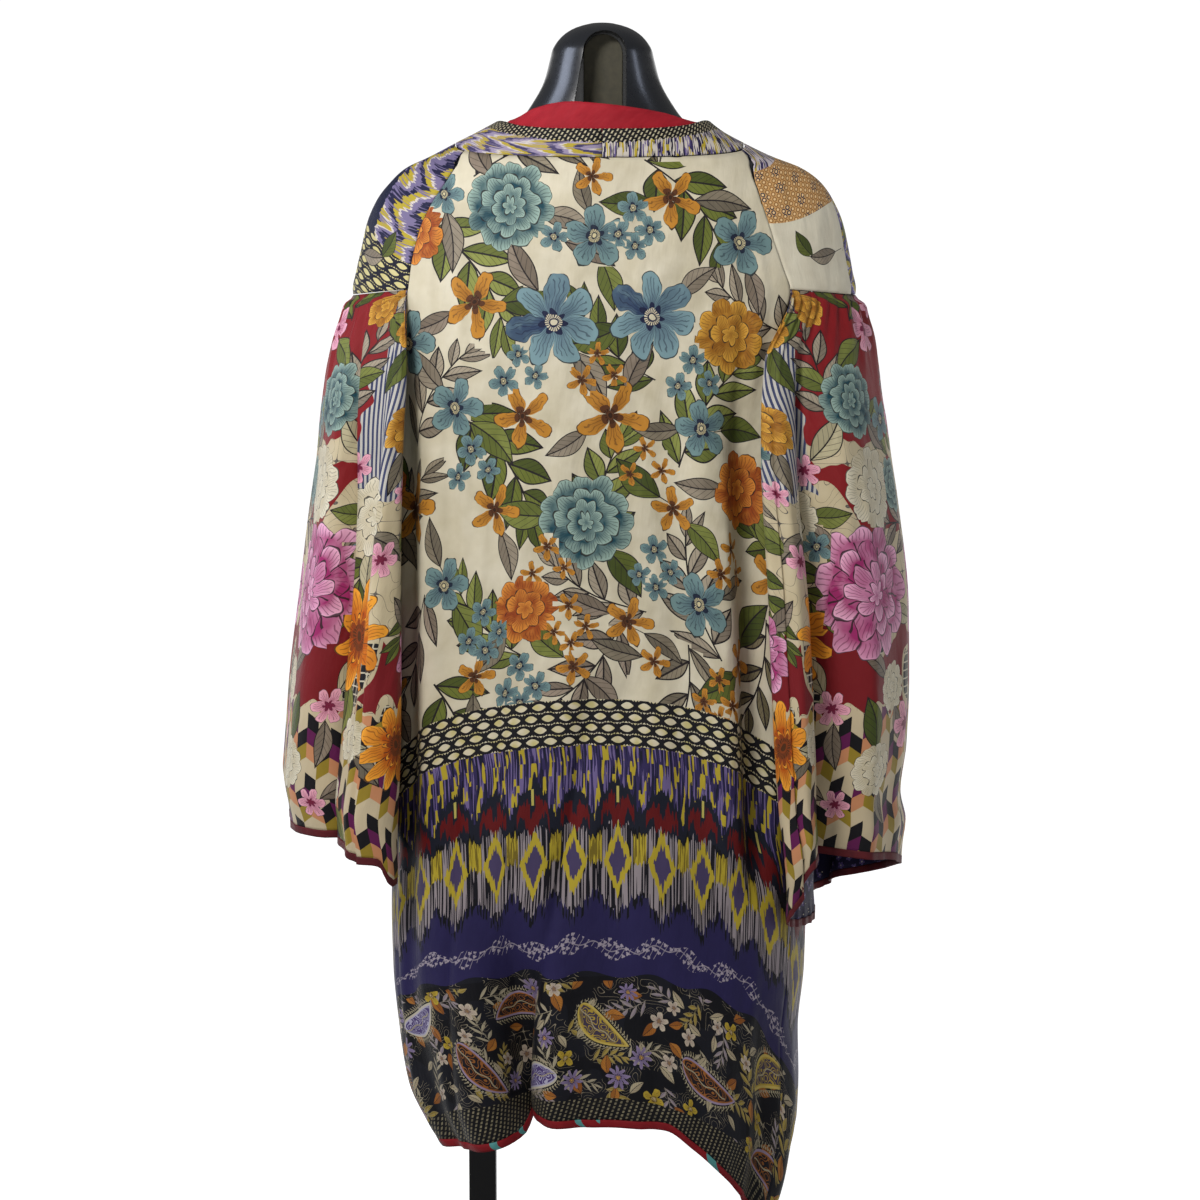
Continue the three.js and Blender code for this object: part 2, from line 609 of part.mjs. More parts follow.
const REST_GAP = 1.15; // between the cloth and the form's shoulders

// Points round an oval, from the front over the wearer's left side.
function oval(z, wide, back, front) {
  return shares(FORM_ROUND)
    .slice(0, -1)
    .map((share) => {
      const turn = degrees(mix(-180, 180, share));
      const deep = Math.cos(turn) > 0 ? back : front;
      return new THREE.Vector3(wide * Math.sin(turn), -deep * Math.cos(turn), z);
    });
}

// The form's shoulders lie just under the cloth, so the cloth rests on them.
function shoulderRing(z) {
  return shares(FORM_ROUND)
    .slice(0, -1)
    .map((share) => inset(drape, mix(-180, 180, share), z, CLOTH + REST_GAP));
}

// A closed solid through rings of points, from the lowest to the highest.
function loft(rings) {
  const count = rings[0].length;
  const middle = (ring) =>
    ring.reduce((sum, p) => sum.add(p), new THREE.Vector3()).divideScalar(count);
  const points = [...rings.flat(), middle(rings[0]), middle(rings.at(-1))];
  const faces = [];
  const foot = rings.length * count;
  rings.forEach((ring, r) => {
    ring.forEach((_, i) => {
      const next = (i + 1) % count;
      const [a, b] = [r * count + i, r * count + next];
      if (r < rings.length - 1) faces.push(a, b, b + count, a, b + count, a + count);
      if (r === 0) faces.push(foot, b, a);
      if (r === rings.length - 1) faces.push(foot + 1, a, b);
    });
  });
  const geometry = new THREE.BufferGeometry().setFromPoints(points);
  geometry.setIndex(faces);
  return geometry;
}

const wasm = await Module();
wasm.setup();

function asSolid(geometry) {
  const bare = geometry.clone();
  bare.deleteAttribute("normal");
  bare.deleteAttribute("uv");
  const merged = mergeVertices(bare, 1e-3);
  return new wasm.Manifold(
    new wasm.Mesh({
      numProp: 3,
      vertProperties: merged.attributes.position.array,
      triVerts: new Uint32Array(merged.index.array),
    }),
  );
}

function asGeometry(solid) {
  const mesh = solid.getMesh();
  const geometry = new THREE.BufferGeometry();
  geometry.setAttribute("position", new THREE.BufferAttribute(mesh.vertProperties, 3));
  geometry.setIndex(new THREE.BufferAttribute(mesh.triVerts, 1));
  geometry.computeVertexNormals();
  return geometry;
}

// The form: one smooth solid with an arched slot in the back of its neck.
function dressForm() {
  const torso = FORM_RINGS.map((z) => {
    const part = (column) => read(FORM, "z", z, column);
    return oval(z, part("wide"), part("back"), part("front"));
  });
  const neck = NECK_RINGS.map((z) => {
    const part = (column) => read(NECK, "z", z, column);
    return oval(z, part("wide"), part("deep"), part("deep"));
  });
  const body = asSolid(loft([...torso, ...SHOULDER_RINGS.map(shoulderRing), ...neck]));
  const arch = new THREE.Shape();
  const shoulder = SLOT.top - SLOT.topWidth / 2;
  arch.moveTo(-SLOT.footWidth / 2, SLOT.foot);
  arch.lineTo(SLOT.footWidth / 2, SLOT.foot);
  arch.lineTo(SLOT.topWidth / 2, shoulder);
  arch.absarc(0, shoulder, SLOT.topWidth / 2, 0, Math.PI);
  const cutter = new THREE.ExtrudeGeometry(arch, {
    depth: 90,
    bevelEnabled: false,
    curveSegments: 8,
  });
  cutter.rotateX(Math.PI / 2);
  cutter.translate(0, SLOT.depth - 36, 0);
  return asGeometry(body.subtract(asSolid(cutter)));
}

function basePlate() {
  const { wide, deep, corner } = BASE;
  const plate = new THREE.Shape();
  const [w, d] = [wide / 2, deep / 2];
  plate.moveTo(-w + corner, -d);
  plate.lineTo(w - corner, -d);
  plate.absarc(w - corner, -d + corner, corner, -Math.PI / 2, 0);
  plate.lineTo(w, d - corner);
  plate.absarc(w - corner, d - corner, corner, 0, Math.PI / 2);
  plate.lineTo(-w + corner, d);
  plate.absarc(-w + corner, d - corner, corner, Math.PI / 2, Math.PI);
  plate.lineTo(-w, -d + corner);
  plate.absarc(-w + corner, -d + corner, corner, Math.PI, (3 * Math.PI) / 2);
  return new THREE.ExtrudeGeometry(plate, { depth: BASE.tall, bevelEnabled: false, curveSegments: 6 });
}

// ---------------------------------------------------------------- the whole object
const finish = (color, roughness, metalness = 0) =>
  new THREE.MeshStandardMaterial({ color, roughness, metalness });
const creamSilk = finish("#d9cda9", 0.45);
const borderSilk = finish("#2b2850", 0.45);
const sleeveSilk = finish("#b9544f", 0.45);
const bandSilk = finish("#3a3552", 0.45);
const redSilk = finish("#b3202c", 0.5);
const blackPlastic = finish("#1b1d22", 0.35);
const blackSteel = finish("#101010", 0.4, 0.6);

const kimono = new THREE.Group();
function piece(name, geometry, material) {
  const mesh = new THREE.Mesh(geometry, material);
  mesh.name = name;
  kimono.add(mesh);
  return mesh;
}

piece("back_panel", wall(backPanel(), drape), creamSilk);
piece("collar_facing", wall(facing(), facingSurface), redSilk);
piece("hem_binding", wall(hemBinding(), drape), redSilk);
for (const side of ["left", "right"]) {
  const surface = (way, z) => sleeveSurface(side, -sign[side] * way, z);
  piece(`front_${side}`, wall(frontPanel(side), drape), borderSilk);
  piece(`yoke_${side}`, wall(yoke(side), drape), bandSilk);
  piece(`neckband_${side}`, wall(band(side), drape), bandSilk);
  piece(`sleeve_${side}`, wall(sleeveGrid(side, false), surface, true), sleeveSilk);
  piece(`cuff_binding_${side}`, wall(sleeveGrid(side, true), surface, true), redSilk);
}

piece("dress_form", dressForm(), blackPlastic);
const poleFoot = BASE.tall + 0.3;
const poleTop = FORM_FOOT - 0.3;
const pole = piece(
  "pole",
  new THREE.BoxGeometry(POLE.side, POLE.side, poleTop - poleFoot),
  blackSteel,
);
pole.position.set(POLE.x, POLE.y, (poleTop + poleFoot) / 2);
piece("base_plate", basePlate(), blackSteel);

export default kimono;
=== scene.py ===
import math
import random

import bmesh
import bpy
import numpy as np
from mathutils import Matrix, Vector


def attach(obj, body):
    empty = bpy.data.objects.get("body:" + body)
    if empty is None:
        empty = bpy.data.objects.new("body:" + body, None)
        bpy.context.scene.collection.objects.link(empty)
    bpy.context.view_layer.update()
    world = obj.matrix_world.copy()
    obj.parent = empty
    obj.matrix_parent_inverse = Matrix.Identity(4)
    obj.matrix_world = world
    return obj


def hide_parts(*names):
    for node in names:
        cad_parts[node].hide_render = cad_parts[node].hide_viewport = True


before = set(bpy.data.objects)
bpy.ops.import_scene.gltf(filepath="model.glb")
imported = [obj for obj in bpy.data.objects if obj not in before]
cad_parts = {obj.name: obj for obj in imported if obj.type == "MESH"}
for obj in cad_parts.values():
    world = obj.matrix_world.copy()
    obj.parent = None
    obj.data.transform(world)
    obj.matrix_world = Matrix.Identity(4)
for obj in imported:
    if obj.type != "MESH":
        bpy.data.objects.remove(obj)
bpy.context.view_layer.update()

# ------------------------------------------------------------------ base plate and pole
# The stand: a square steel tube, off the middle of the form, on a thin steel plate with rounded corners.
# The tube is welded to the plate and both are powder-coated black. They keep their own meshes.


def linear(rgb):
    return tuple((c / 255 / 12.92) if c <= 10 else ((c / 255 + 0.055) / 1.055) ** 2.4 for c in rgb)


class Shader:
    """One material's node tree, with short names for the nodes that its pattern needs."""

    def __init__(self, name):
        self.material = bpy.data.materials.new(name)
        self.material.use_nodes = True
        self.tree = self.material.node_tree
        self.bsdf = self.tree.nodes["Principled BSDF"]

    def node(self, kind, inputs=(), **settings):
        made = self.tree.nodes.new("ShaderNode" + kind)
        for key, value in settings.items():
            setattr(made, key, value)
        for key, value in dict(inputs).items():
            self.put(made.inputs[key], value)
        return made

    def put(self, socket, value):
        if isinstance(value, Num):
            value = value.socket
        if isinstance(value, bpy.types.NodeSocket):
            self.tree.links.new(value, socket)
        elif isinstance(value, tuple) and len(value) == 3 and socket.type == "RGBA":
            socket.default_value = (*linear(value), 1)
        else:
            socket.default_value = value

    def math(self, operation, *values):
        made = self.node("Math", enumerate(values), operation=operation)
        return Num(self, made.outputs[0])

    def uv(self, name):
        split = self.node("SeparateXYZ", {0: self.node("UVMap", uv_map=name).outputs[0]})
        return Num(self, split.outputs[0]), Num(self, split.outputs[1])

    def field(self, name, colour=False):
        made = self.node("Attribute", attribute_name=name)
        return made.outputs["Color"] if colour else Num(self, made.outputs["Fac"])

    def noise(self, x, y, detail=2.0, z=0.0):
        vector = self.node("CombineXYZ", {0: x, 1: y, 2: z}).outputs[0]
        made = self.node("TexNoise", {"Vector": vector, "Scale": 1.0, "Detail": detail})
        return Num(self, made.outputs["Fac"])

    def cells(self, x, y, jitter=1.0):
        """The nearest random point: its offset and a random number."""
        vector = self.node("CombineXYZ", {0: x, 1: y}).outputs[0]
        made = self.node(
            "TexVoronoi", {"Vector": vector, "Scale": 1.0, "Randomness": jitter}, voronoi_dimensions="2D"
        )
        place = self.node("SeparateXYZ", {0: made.outputs["Position"]})
        hue = self.node("SeparateColor", {0: made.outputs["Color"]})
        return x - Num(self, place.outputs[0]), y - Num(self, place.outputs[1]), Num(self, hue.outputs[0])

    def over(self, share, under, colour):
        """colour laid over under, as much as share."""
        made = self.node("Mix", {0: share, 6: under, 7: colour}, data_type="RGBA")
        return made.outputs[2]

    def scale(self, colour, share):
        grey = self.node("CombineColor", {0: share, 1: share, 2: share}).outputs[0]
        return self.node(
            "Mix", {0: 1.0, 6: colour, 7: grey}, data_type="RGBA", blend_type="MULTIPLY"
        ).outputs[2]


class Num:
    """A number in a shader. Arithmetic on it adds Math nodes."""

    def __init__(self, shader, socket):
        self.shader, self.socket = shader, socket

    def __rsub__(self, o):
        return self.shader.math("SUBTRACT", o, self)

    def near(self, width):
        """1 where the number is within width of 0."""
        return self.abs() < width

    def wave(self, period):
        """A triangle wave between 0 and 1."""
        return ((self / period).fract() * 2 - 1).abs()


def as_node(operation):
    return lambda number, *others: number.shader.math(operation, number, *others)


OPERATIONS = {
    "__add__": "ADD", "__radd__": "ADD", "__sub__": "SUBTRACT", "__mul__": "MULTIPLY", "__rmul__": "MULTIPLY",
    "__truediv__": "DIVIDE", "__pow__": "POWER", "__gt__": "GREATER_THAN", "__lt__": "LESS_THAN",
    "sin": "SINE", "cos": "COSINE", "abs": "ABSOLUTE", "fract": "FRACT", "floor": "FLOOR",
    "max": "MAXIMUM", "min": "MINIMUM", "angle": "ARCTAN2",
}
for name, operation in OPERATIONS.items():
    setattr(Num, name, as_node(operation))


def powder_coat():
    """Black powder coat on steel, with a fine orange-peel surface and patches of wear, paler and rougher."""
    s = Shader("powder_coat")
    place = s.node("TexCoord").outputs["Object"]
    peel = Num(s, s.node("TexNoise", {"Vector": place, "Scale": 700.0, "Detail": 3.0}).outputs["Fac"])
    wear = Num(s, s.node("TexNoise", {"Vector": place, "Scale": 22.0, "Detail": 5.0}).outputs["Fac"])
    s.put(s.bsdf.inputs["Base Color"], s.over(wear, (6, 6, 7), (14, 14, 16)))
    s.put(s.bsdf.inputs["Roughness"], 0.4 + 0.22 * wear)
    s.put(s.bsdf.inputs["Specular IOR Level"], 0.28)
    bump = s.node("Bump", {"Strength": 0.2, "Distance": 0.0003, "Height": peel})
    s.put(s.bsdf.inputs["Normal"], bump.outputs[0])
    return s.material


steel = powder_coat()
for node in ("pole", "base_plate"):
    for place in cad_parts[node].material_slots:
        place.material = steel

# ------------------------------------------------------------------ dress form
# A woman's display form without arms, head or legs, moulded in glossy black plastic and flat at its foot.
# Its shoulders lie REST under the cloth that hangs from them. The back of its neck has an arched slot.


def table(names, *rows):
    """Columns by name."""
    return dict(zip(names.split(), np.array(rows, float).T))


def read(tab, key, value, column):
    """A monotone cubic curve through a table's column."""
    x, y = tab[key], tab[column]
    value = np.clip(np.asarray(value, float), x[0], x[-1])
    i = np.clip(np.searchsorted(x, value, side="right") - 1, 0, len(x) - 2)
    slope = np.diff(y) / np.diff(x)
    before, after = slope[:-1], slope[1:]
    total = np.where(before + after == 0, 1, before + after)
    tangent = np.zeros(len(x))
    tangent[1:-1] = np.where(before * after <= 0, 0, 2 * before * after / total)
    span = x[i + 1] - x[i]
    t = (value - x[i]) / span
    rise = y[i] * (1 + 2 * t) * (1 - t) ** 2 + y[i + 1] * t * t * (3 - 2 * t)
    return rise + span * t * (1 - t) * (tangent[i] * (1 - t) - tangent[i + 1] * t)


def ease(value):
    value = np.clip(value, 0, 1)
    return value * value * (3 - 2 * value)


def mix(a, b, share):
    return a + (b - a) * share


# Half widths and depths of the surface that the cloth drapes in, and how square its corners are, by height.
BODY = table(
    "z left right back front",
    (130, 128, 146, 103, 106), (160, 134, 161, 108, 112), (188, 140, 168, 112, 116),
    (208, 147, 171, 115, 118), (230, 160, 175, 118, 120), (262, 174, 176, 120, 122),
    (308, 181, 175, 121, 123), (364, 186, 180, 121, 123), (415, 187, 181, 120, 122),
    (500, 184, 181, 118, 120), (600, 183, 181, 116, 118), (700, 183, 181, 113, 118),
    (800, 185, 183, 112, 122), (860, 192, 190, 112, 124), (900, 200, 200, 111, 122),
    (930, 208, 210, 109, 118), (960, 216, 220, 106, 112), (975, 213, 217, 103, 108),
    (996, 208, 213, 99, 101), (1017, 203, 208, 94, 92), (1037, 194, 199, 88, 83),
    (1051, 183, 189, 83, 76), (1063, 170, 173, 78, 70), (1074, 147, 145, 74, 66),
    (1086, 124, 120, 71, 64), (1096, 104, 102, 68, 62), (1108, 84, 88, 65, 60),
    (1122, 76, 78, 63, 58),
)
SQUARE = table(
    "z square", (130, 0.05), (700, 0.05), (800, 0.04), (860, 0.03), (900, 0.02), (930, 0.01), (960, 0)
)
# Its folds: the angle from the middle of the back, the drift, the half width in degrees, the heights where a
# fold starts, is full, fades and ends, and how far it stands out and leans. The finest come last.
FOLDS = table(
    "at drift half start full fade end out lean",
    (-58, 0, 9, 955, 860, 300, 200, -5, 0), (-44, -1, 10, 940, 800, 560, 420, 4, 0),
    (21, 2.1, 8, 960, 820, 520, 430, 8, 0), (35, 1.4, 9, 950, 700, 520, 420, -17, 0),
    (2, 0, 9, 640, 520, 200, 100, -4, 0), (-12, 0, 7, 520, 400, 200, 100, 6, 0),
    (-20.5, 0, 10, 470, 290, 200, 100, -36, 4), (-33, 0, 11, 450, 300, 200, 100, 9, 0),
    (-52, 0, 9, 360, 250, 150, 100, -8, 0), (30, 0, 11, 400, 280, 150, 100, 6, 0),
    (48, 0, 9, 360, 240, 150, 100, -9, 0), (64, 0, 9, 340, 240, 150, 100, 5, 0),
    (100, 0, 12, 640, 420, 150, 100, -9, 0), (122, 0, 12, 700, 420, 150, 100, 5, 0),
    (140, 0, 9, 860, 520, 150, 100, -12, 0), (-104, 0, 12, 640, 420, 150, 100, -8, 0),
    (-126, 0, 12, 700, 420, 150, 100, 5, 0), (-143, 0, 9, 860, 520, 150, 100, -12, 0),
    (-40, 0.5, 3.5, 1040, 980, 800, 700, -2.2, 0), (-34, 0.2, 3, 1000, 940, 700, 620, 1.6, 0),
    (33, 0.4, 3.2, 1045, 990, 880, 760, -2.4, 0), (38, 0, 2.6, 1020, 980, 900, 820, 1.6, 0),
    (-9, 0.6, 4, 1000, 900, 640, 520, 1.3, 0), (7, -0.4, 5, 960, 850, 600, 480, -1.4, 0),
    (13, 1.6, 3.4, 880, 760, 560, 440, -2.2, 0), (-24, -0.7, 5, 900, 760, 560, 460, -1.8, 0),
    (-27, 0, 3, 420, 330, 240, 180, 2.4, 0), (-5, 0, 3.4, 430, 350, 260, 180, -2, 0),
    (12, 0, 4, 430, 340, 240, 160, -2.6, 0), (20, 0, 3.4, 400, 320, 240, 160, 2, 0),
    (-64, 0, 4, 520, 400, 250, 180, 2, 0), (-70, 0, 4, 480, 380, 250, 180, -2.5, 0),
    (40, 0, 3.5, 430, 330, 200, 140, 2.2, 0), (150, 0, 4, 900, 700, 260, 180, 2, 0),
    (-154, 0, 4, 900, 700, 260, 180, 2, 0), (-1, -4.6, 5, 650, 560, 270, 190, -9, 4),
    (28, 1.8, 5, 900, 780, 560, 420, 3.5, 0), (-36, -1.2, 4, 620, 520, 300, 200, -4, 2),
)


def bare_drape(angle, z, out=0, slid=0):
    """The draped surface, moved out along its normal."""
    turn = np.radians(angle)
    side, rear = np.sin(turn), np.cos(turn)
    square = read(SQUARE, "z", z, "square")
    half = np.where(angle < 0, read(BODY, "z", z, "left"), read(BODY, "z", z, "right"))
    depth = np.where(np.abs(angle) < 90, read(BODY, "z", z, "back"), read(BODY, "z", z, "front"))
    x = half * (side + square * np.sin(3 * turn)) / (1 - square)
    y = -depth * (rear - square * np.cos(3 * turn)) / (1 - square)
    nx, ny = side * depth, -rear * half
    size = np.hypot(nx, ny)
    nx, ny = nx / size, ny / size
    return np.stack([x + nx * out - ny * slid, y + ny * out + nx * slid, z + 0 * x], -1)


def drape(angle, z, out=0):
    raised = np.zeros_like(angle + z) + out
    slid = np.zeros_like(raised)
    f = FOLDS
    for i in range(len(f["at"])):
        off = (angle - f["at"][i] - f["drift"][i] * (f["start"][i] - z) / 100) / f["half"][i]
        share = ease((f["start"][i] - z) / (f["start"][i] - f["full"][i]))
        share = share * ease((z - f["end"][i]) / (f["fade"][i] - f["end"][i])) * (np.abs(off) < 1)
        raised = raised + f["out"][i] * share * (1 + np.cos(math.pi * off)) / 2
        slid = slid - f["lean"][i] * share * np.sin(math.pi * off)
    return bare_drape(angle, z, raised, slid)


# The form under the cloth: half widths and depths of its torso and its neck.
FORM = table(
    "z wide back front",
    (540, 150, 90, 92), (620, 158, 96, 96), (700, 140, 88, 88), (780, 124, 82, 84), (860, 142, 92, 104),
    (920, 160, 99, 110), (980, 178, 96, 98), (1015, 187, 88, 86), (1035, 188, 82, 78),
)
NECK = table(
    "z wide deep", (1082, 110, 61), (1090, 92, 58), (1102, 73, 54), (1117, 61, 51), (1137, 50, 48),
    (1155, 45, 45), (1163, 43, 43), (1170, 39, 39), (1176, 33.5, 33.5), (1181, 26, 26), (1184, 18.5, 18.5),
    (1186, 10.5, 10.5)
)
REST = 2.65
TORSO, SHOULDERS, THROAT = (540, 1022), (1040, 1077), (1084, 1186)  # lowest and highest rings
CROWN = (0.75, 0.35), (0.4, 0.7), (0.05, 0.9)  # share of the last ring, and rise over it
SLOT = {"left": -28, "right": 20.5, "middle": 2.2, "radius": 18.3, "top": 1178, "foot": 1092}
SLOT_MOUTH, SLOT_WALL = -92, -2


def form_points():
    turn = np.linspace(-180, 180, 145)[None, :-1]
    round_ = np.radians(turn)

    def oval(z, wide, rear, front):
        deep = np.where(np.cos(round_) > 0, rear, front)
        return np.stack([wide * np.sin(round_), -deep * np.cos(round_), z + 0 * round_], -1)

    z = np.linspace(*TORSO, 70)[:, None]
    torso = oval(z, *(read(FORM, "z", z, c) for c in ("wide", "back", "front")))
    base = [read(FORM, "z", z[:1], c) for c in ("wide", "back", "front")]
    foot = [oval(z[:1], *(width * share for width in base)) for share in (0.05, 0.9, 0.985)]
    shoulders = drape(turn, np.linspace(*SHOULDERS, 14)[:, None], -REST)
    z = np.linspace(*THROAT, 60)[:, None]
    neck = oval(z, *(read(NECK, "z", z, c) for c in ("wide", "deep", "deep")))
    crown = [neck[-1:] * (share, share, 1) + (0, 0, rise) for share, rise in CROWN]
    return np.concatenate([*foot, torso, shoulders, neck, *crown])


def closed_mesh(name, rings, material):
    """A closed skin through rings of points, in mm, from the lowest to the highest."""
    count = rings.shape[1]
    bm = bmesh.new()
    verts = [[bm.verts.new(p / 1000) for p in ring] for ring in rings]
    for low, high in zip(verts, verts[1:]):
        for i in range(count):
            j = (i + 1) % count
            bm.faces.new([low[i], low[j], high[j], high[i]])
    bm.faces.new(verts[0][::-1])
    bm.faces.new(verts[-1])
    for face in bm.faces:
        face.smooth = True
    mesh = bpy.data.meshes.new(name)
    bm.to_mesh(mesh)
    bm.free()
    mesh.materials.append(material)
    made = bpy.data.objects.new(name, mesh)
    bpy.context.collection.objects.link(made)
    return made


def arched(name, shape, near, far, material):
    """An upright block with a round top and a foot that may splay, from near to far in y."""
    rise = shape["top"] - shape["radius"]
    arc = [
        (shape["middle"] + shape["radius"] * math.cos(a), rise + shape["radius"] * math.sin(a))
        for a in np.linspace(0, math.pi, 25)
    ]
    outline = [(shape["left"], shape["foot"]), (shape["right"], shape["foot"]), *arc]
    return closed_mesh(
        name, np.array([[(x, y, z) for x, z in outline[::-1]] for y in (near, far)], float), material
    )


def gloss_black(name="gloss_black"):
    """Moulded black plastic, slightly uneven, with fine scuffs."""
    s = Shader(name)
    place = s.node("TexCoord").outputs["Object"]
    wave = s.node("TexNoise", {"Vector": place, "Scale": 26.0, "Detail": 2.0}).outputs["Fac"]
    scuff = s.node("TexNoise", {"Vector": place, "Scale": 300.0, "Detail": 4.0}).outputs["Fac"]
    s.put(s.bsdf.inputs["Base Color"], s.over(Num(s, wave) * 0.6, (20, 22, 26), (30, 33, 40)))
    s.put(s.bsdf.inputs["Roughness"], 0.22 + 0.14 * Num(s, scuff))
    s.put(s.bsdf.inputs["Coat Weight"], 1.0)
    s.put(s.bsdf.inputs["Coat Roughness"], 0.2)
    bump = s.node("Bump", {"Strength": 0.12, "Distance": 0.002, "Height": Num(s, wave)})
    s.put(s.bsdf.inputs["Normal"], bump.outputs[0])
    return s.material


def dress_form():
    body = closed_mesh("form_skin", form_points(), gloss_black())
    cutter = arched("cutter", SLOT, SLOT_MOUTH, SLOT_WALL, gloss_black("slot_black"))
    cut = body.modifiers.new("slot", "BOOLEAN")
    cut.operation, cut.object, cut.solver, cut.material_mode = "DIFFERENCE", cutter, "EXACT", "TRANSFER"
    mesh = bpy.data.meshes.new_from_object(body.evaluated_get(bpy.context.evaluated_depsgraph_get()))
    body.modifiers.clear()
    body.data = mesh
    mesh.set_sharp_from_angle(angle=math.radians(40))
    bpy.data.objects.remove(cutter)
    rim = body.modifiers.new("rim", "BEVEL")
    rim.width, rim.segments, rim.limit_method, rim.angle_limit = 0.0012, 3, "ANGLE", math.radians(50)
    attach(body, "root")
    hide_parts("dress_form")
    return body


form = dress_form()

# ------------------------------------------------------------------ neck panel
# A dull olive-grey board with a round top, which closes the slot in the neck and stands clear of its sides.
# It is cut from fibreboard, its edges are eased, and it is glued to the slot's rear wall.
PANEL = {"left": -15.8, "right": 17.6, "middle": 0.9, "radius": 16.7, "top": 1176, "foot": 1091}
PANEL_FACE = -17


def dull_panel():
    """The recessed panel in the neck: dull olive-grey board."""
    s = Shader("dull_panel")
    place = s.node("TexCoord").outputs["Object"]
    grain = Num(s, s.node("TexNoise", {"Vector": place, "Scale": 180.0, "Detail": 6.0}).outputs["Fac"])
    s.put(s.bsdf.inputs["Base Color"], s.over(grain, (50, 48, 38), (86, 82, 66)))
    s.put(s.bsdf.inputs["Roughness"], 0.7 + 0.2 * grain)
    bump = s.node("Bump", {"Strength": 0.3, "Distance": 0.0006, "Height": grain})
    s.put(s.bsdf.inputs["Normal"], bump.outputs[0])
    return s.material


def neck_panel():
    """The board that stands in the slot, clear of its sides."""
    board = arched("neck_panel", PANEL, PANEL_FACE, SLOT_WALL + 1, dull_panel())
    board.data.set_sharp_from_angle(angle=math.radians(40))
    edge = board.modifiers.new("edge", "BEVEL")
    edge.width, edge.segments, edge.limit_method, edge.angle_limit = 0.0008, 2, "ANGLE", math.radians(50)
    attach(board, "root")


neck_panel()

# ------------------------------------------------------------------ back panel
# One piece of printed washed silk from the neck seam to the hem, flared, with a border print along its foot.
# It is sewn to the yokes, sleeves and fronts, SEAM apart here, and hangs from the shoulders of the form.
SEAM, BINDING = 0.35, 6
CLOTH_FACE, CLOTH_THICK = 0.15, 0.9  # how far its outer face lies outside the draped surface, how thick it is
YOKE_FOOT, YOKE_TOP, UNDERARM, NECK_SEAM = 960, 1077.5, 750, 1070
HEM_LEVEL = 200
SIGN = {"left": -1, "right": 1}
# The hem and the seams to the yokes, fronts and sleeves: heights, and angles from the middle of the back.
HEM = table(
    "angle z",
    (-180, 196), (-150, 196), (-110, 200), (-75, 208), (-45, 219), (-32, 224), (-25, 231),
    (-20.5, 251), (-16, 248), (0, 246.5), (14.5, 244), (22.5, 225), (33, 196), (44, 168),
    (58, 147), (72, 137), (90, 137), (115, 160), (145, 188), (180, 194),
)
YOKE_BACK = table(
    "z left right",
    (960, -49.2, 45.9), (983, -49.6, 44.3), (1008, -48.8, 42.5), (1031, -47, 41.8),
    (1051, -45.8, 42.6), (1063, -46.4, 46), (1079, -56, 60),
)
SIDE_SEAM = table("z left right", (100, -105, 56), (350, -105, 56), (600, -96, 78), (750, -90, 84))
WRAP = {
    "left": table(
        "z middle reach", (420, -90, 41), (600, -90, 42.5), (800, -90, 40.5), (900, -90, 42.5),
        (960, -90, 40.8)
    ),
    "right": table(
        "z middle reach", (400, 80, 36), (600, 80, 42), (850, 81, 45), (900, 82, 45), (960, 84, 38.1)
    ),
}
BODY_RADIUS = 150
GAP = math.degrees(SEAM / BODY_RADIUS)


def hem_height(angle):
    return read(HEM, "angle", angle, "z")


def top_of_binding(angle):
    return hem_height(angle) + BINDING + SEAM


def armhole_angle(side, z, rear):
    share = np.sqrt(np.clip((z - UNDERARM) / (YOKE_FOOT - UNDERARM), 0, 1))
    middle, reach = (read(WRAP[side], "z", z, c) for c in ("middle", "reach"))
    return middle - SIGN[side] * rear * reach * share


def outer_edge(side, z, rear):
    z = np.asarray(z, float)
    lower = np.where(z >= UNDERARM, armhole_angle(side, z, rear), read(SIDE_SEAM, "z", z, side))
    return np.where(z >= YOKE_FOOT, read(YOKE_BACK, "z", z, side), lower)


def back_grid(rows, step):
    straight = 30
    s = np.linspace(0, 1, rows)[:, None]
    feet = [float(top_of_binding(outer_edge(side, HEM_LEVEL, 1))) for side in ("left", "right")]
    hem = [float(outer_edge("left", feet[0], 1)) + GAP, float(outer_edge("right", feet[1], 1)) - GAP]
    column = np.linspace(hem[0], hem[1], int((hem[1] - hem[0]) / step))[None, :]
    left = outer_edge("left", mix(YOKE_TOP, feet[0], s), 1) + GAP
    right = outer_edge("right", mix(YOKE_TOP, feet[1], s), 1) - GAP
    to_left = mix(-straight, left, (column + straight) / (hem[0] + straight))
    to_right = mix(straight, right, (column - straight) / (hem[1] - straight))
    angle = np.where(column > straight, to_right, np.where(column < -straight, to_left, column + 0 * s))
    share = (angle - left) / (right - left)
    top = mix(NECK_SEAM, YOKE_TOP, (2 * share - 1) ** 2) - SEAM
    return angle, mix(top, top_of_binding(angle), s)


def arc_lengths(points):
    steps = np.linalg.norm(np.diff(points, axis=1), axis=2)
    return np.concatenate([np.zeros((len(points), 1)), np.cumsum(steps, axis=1)], axis=1)


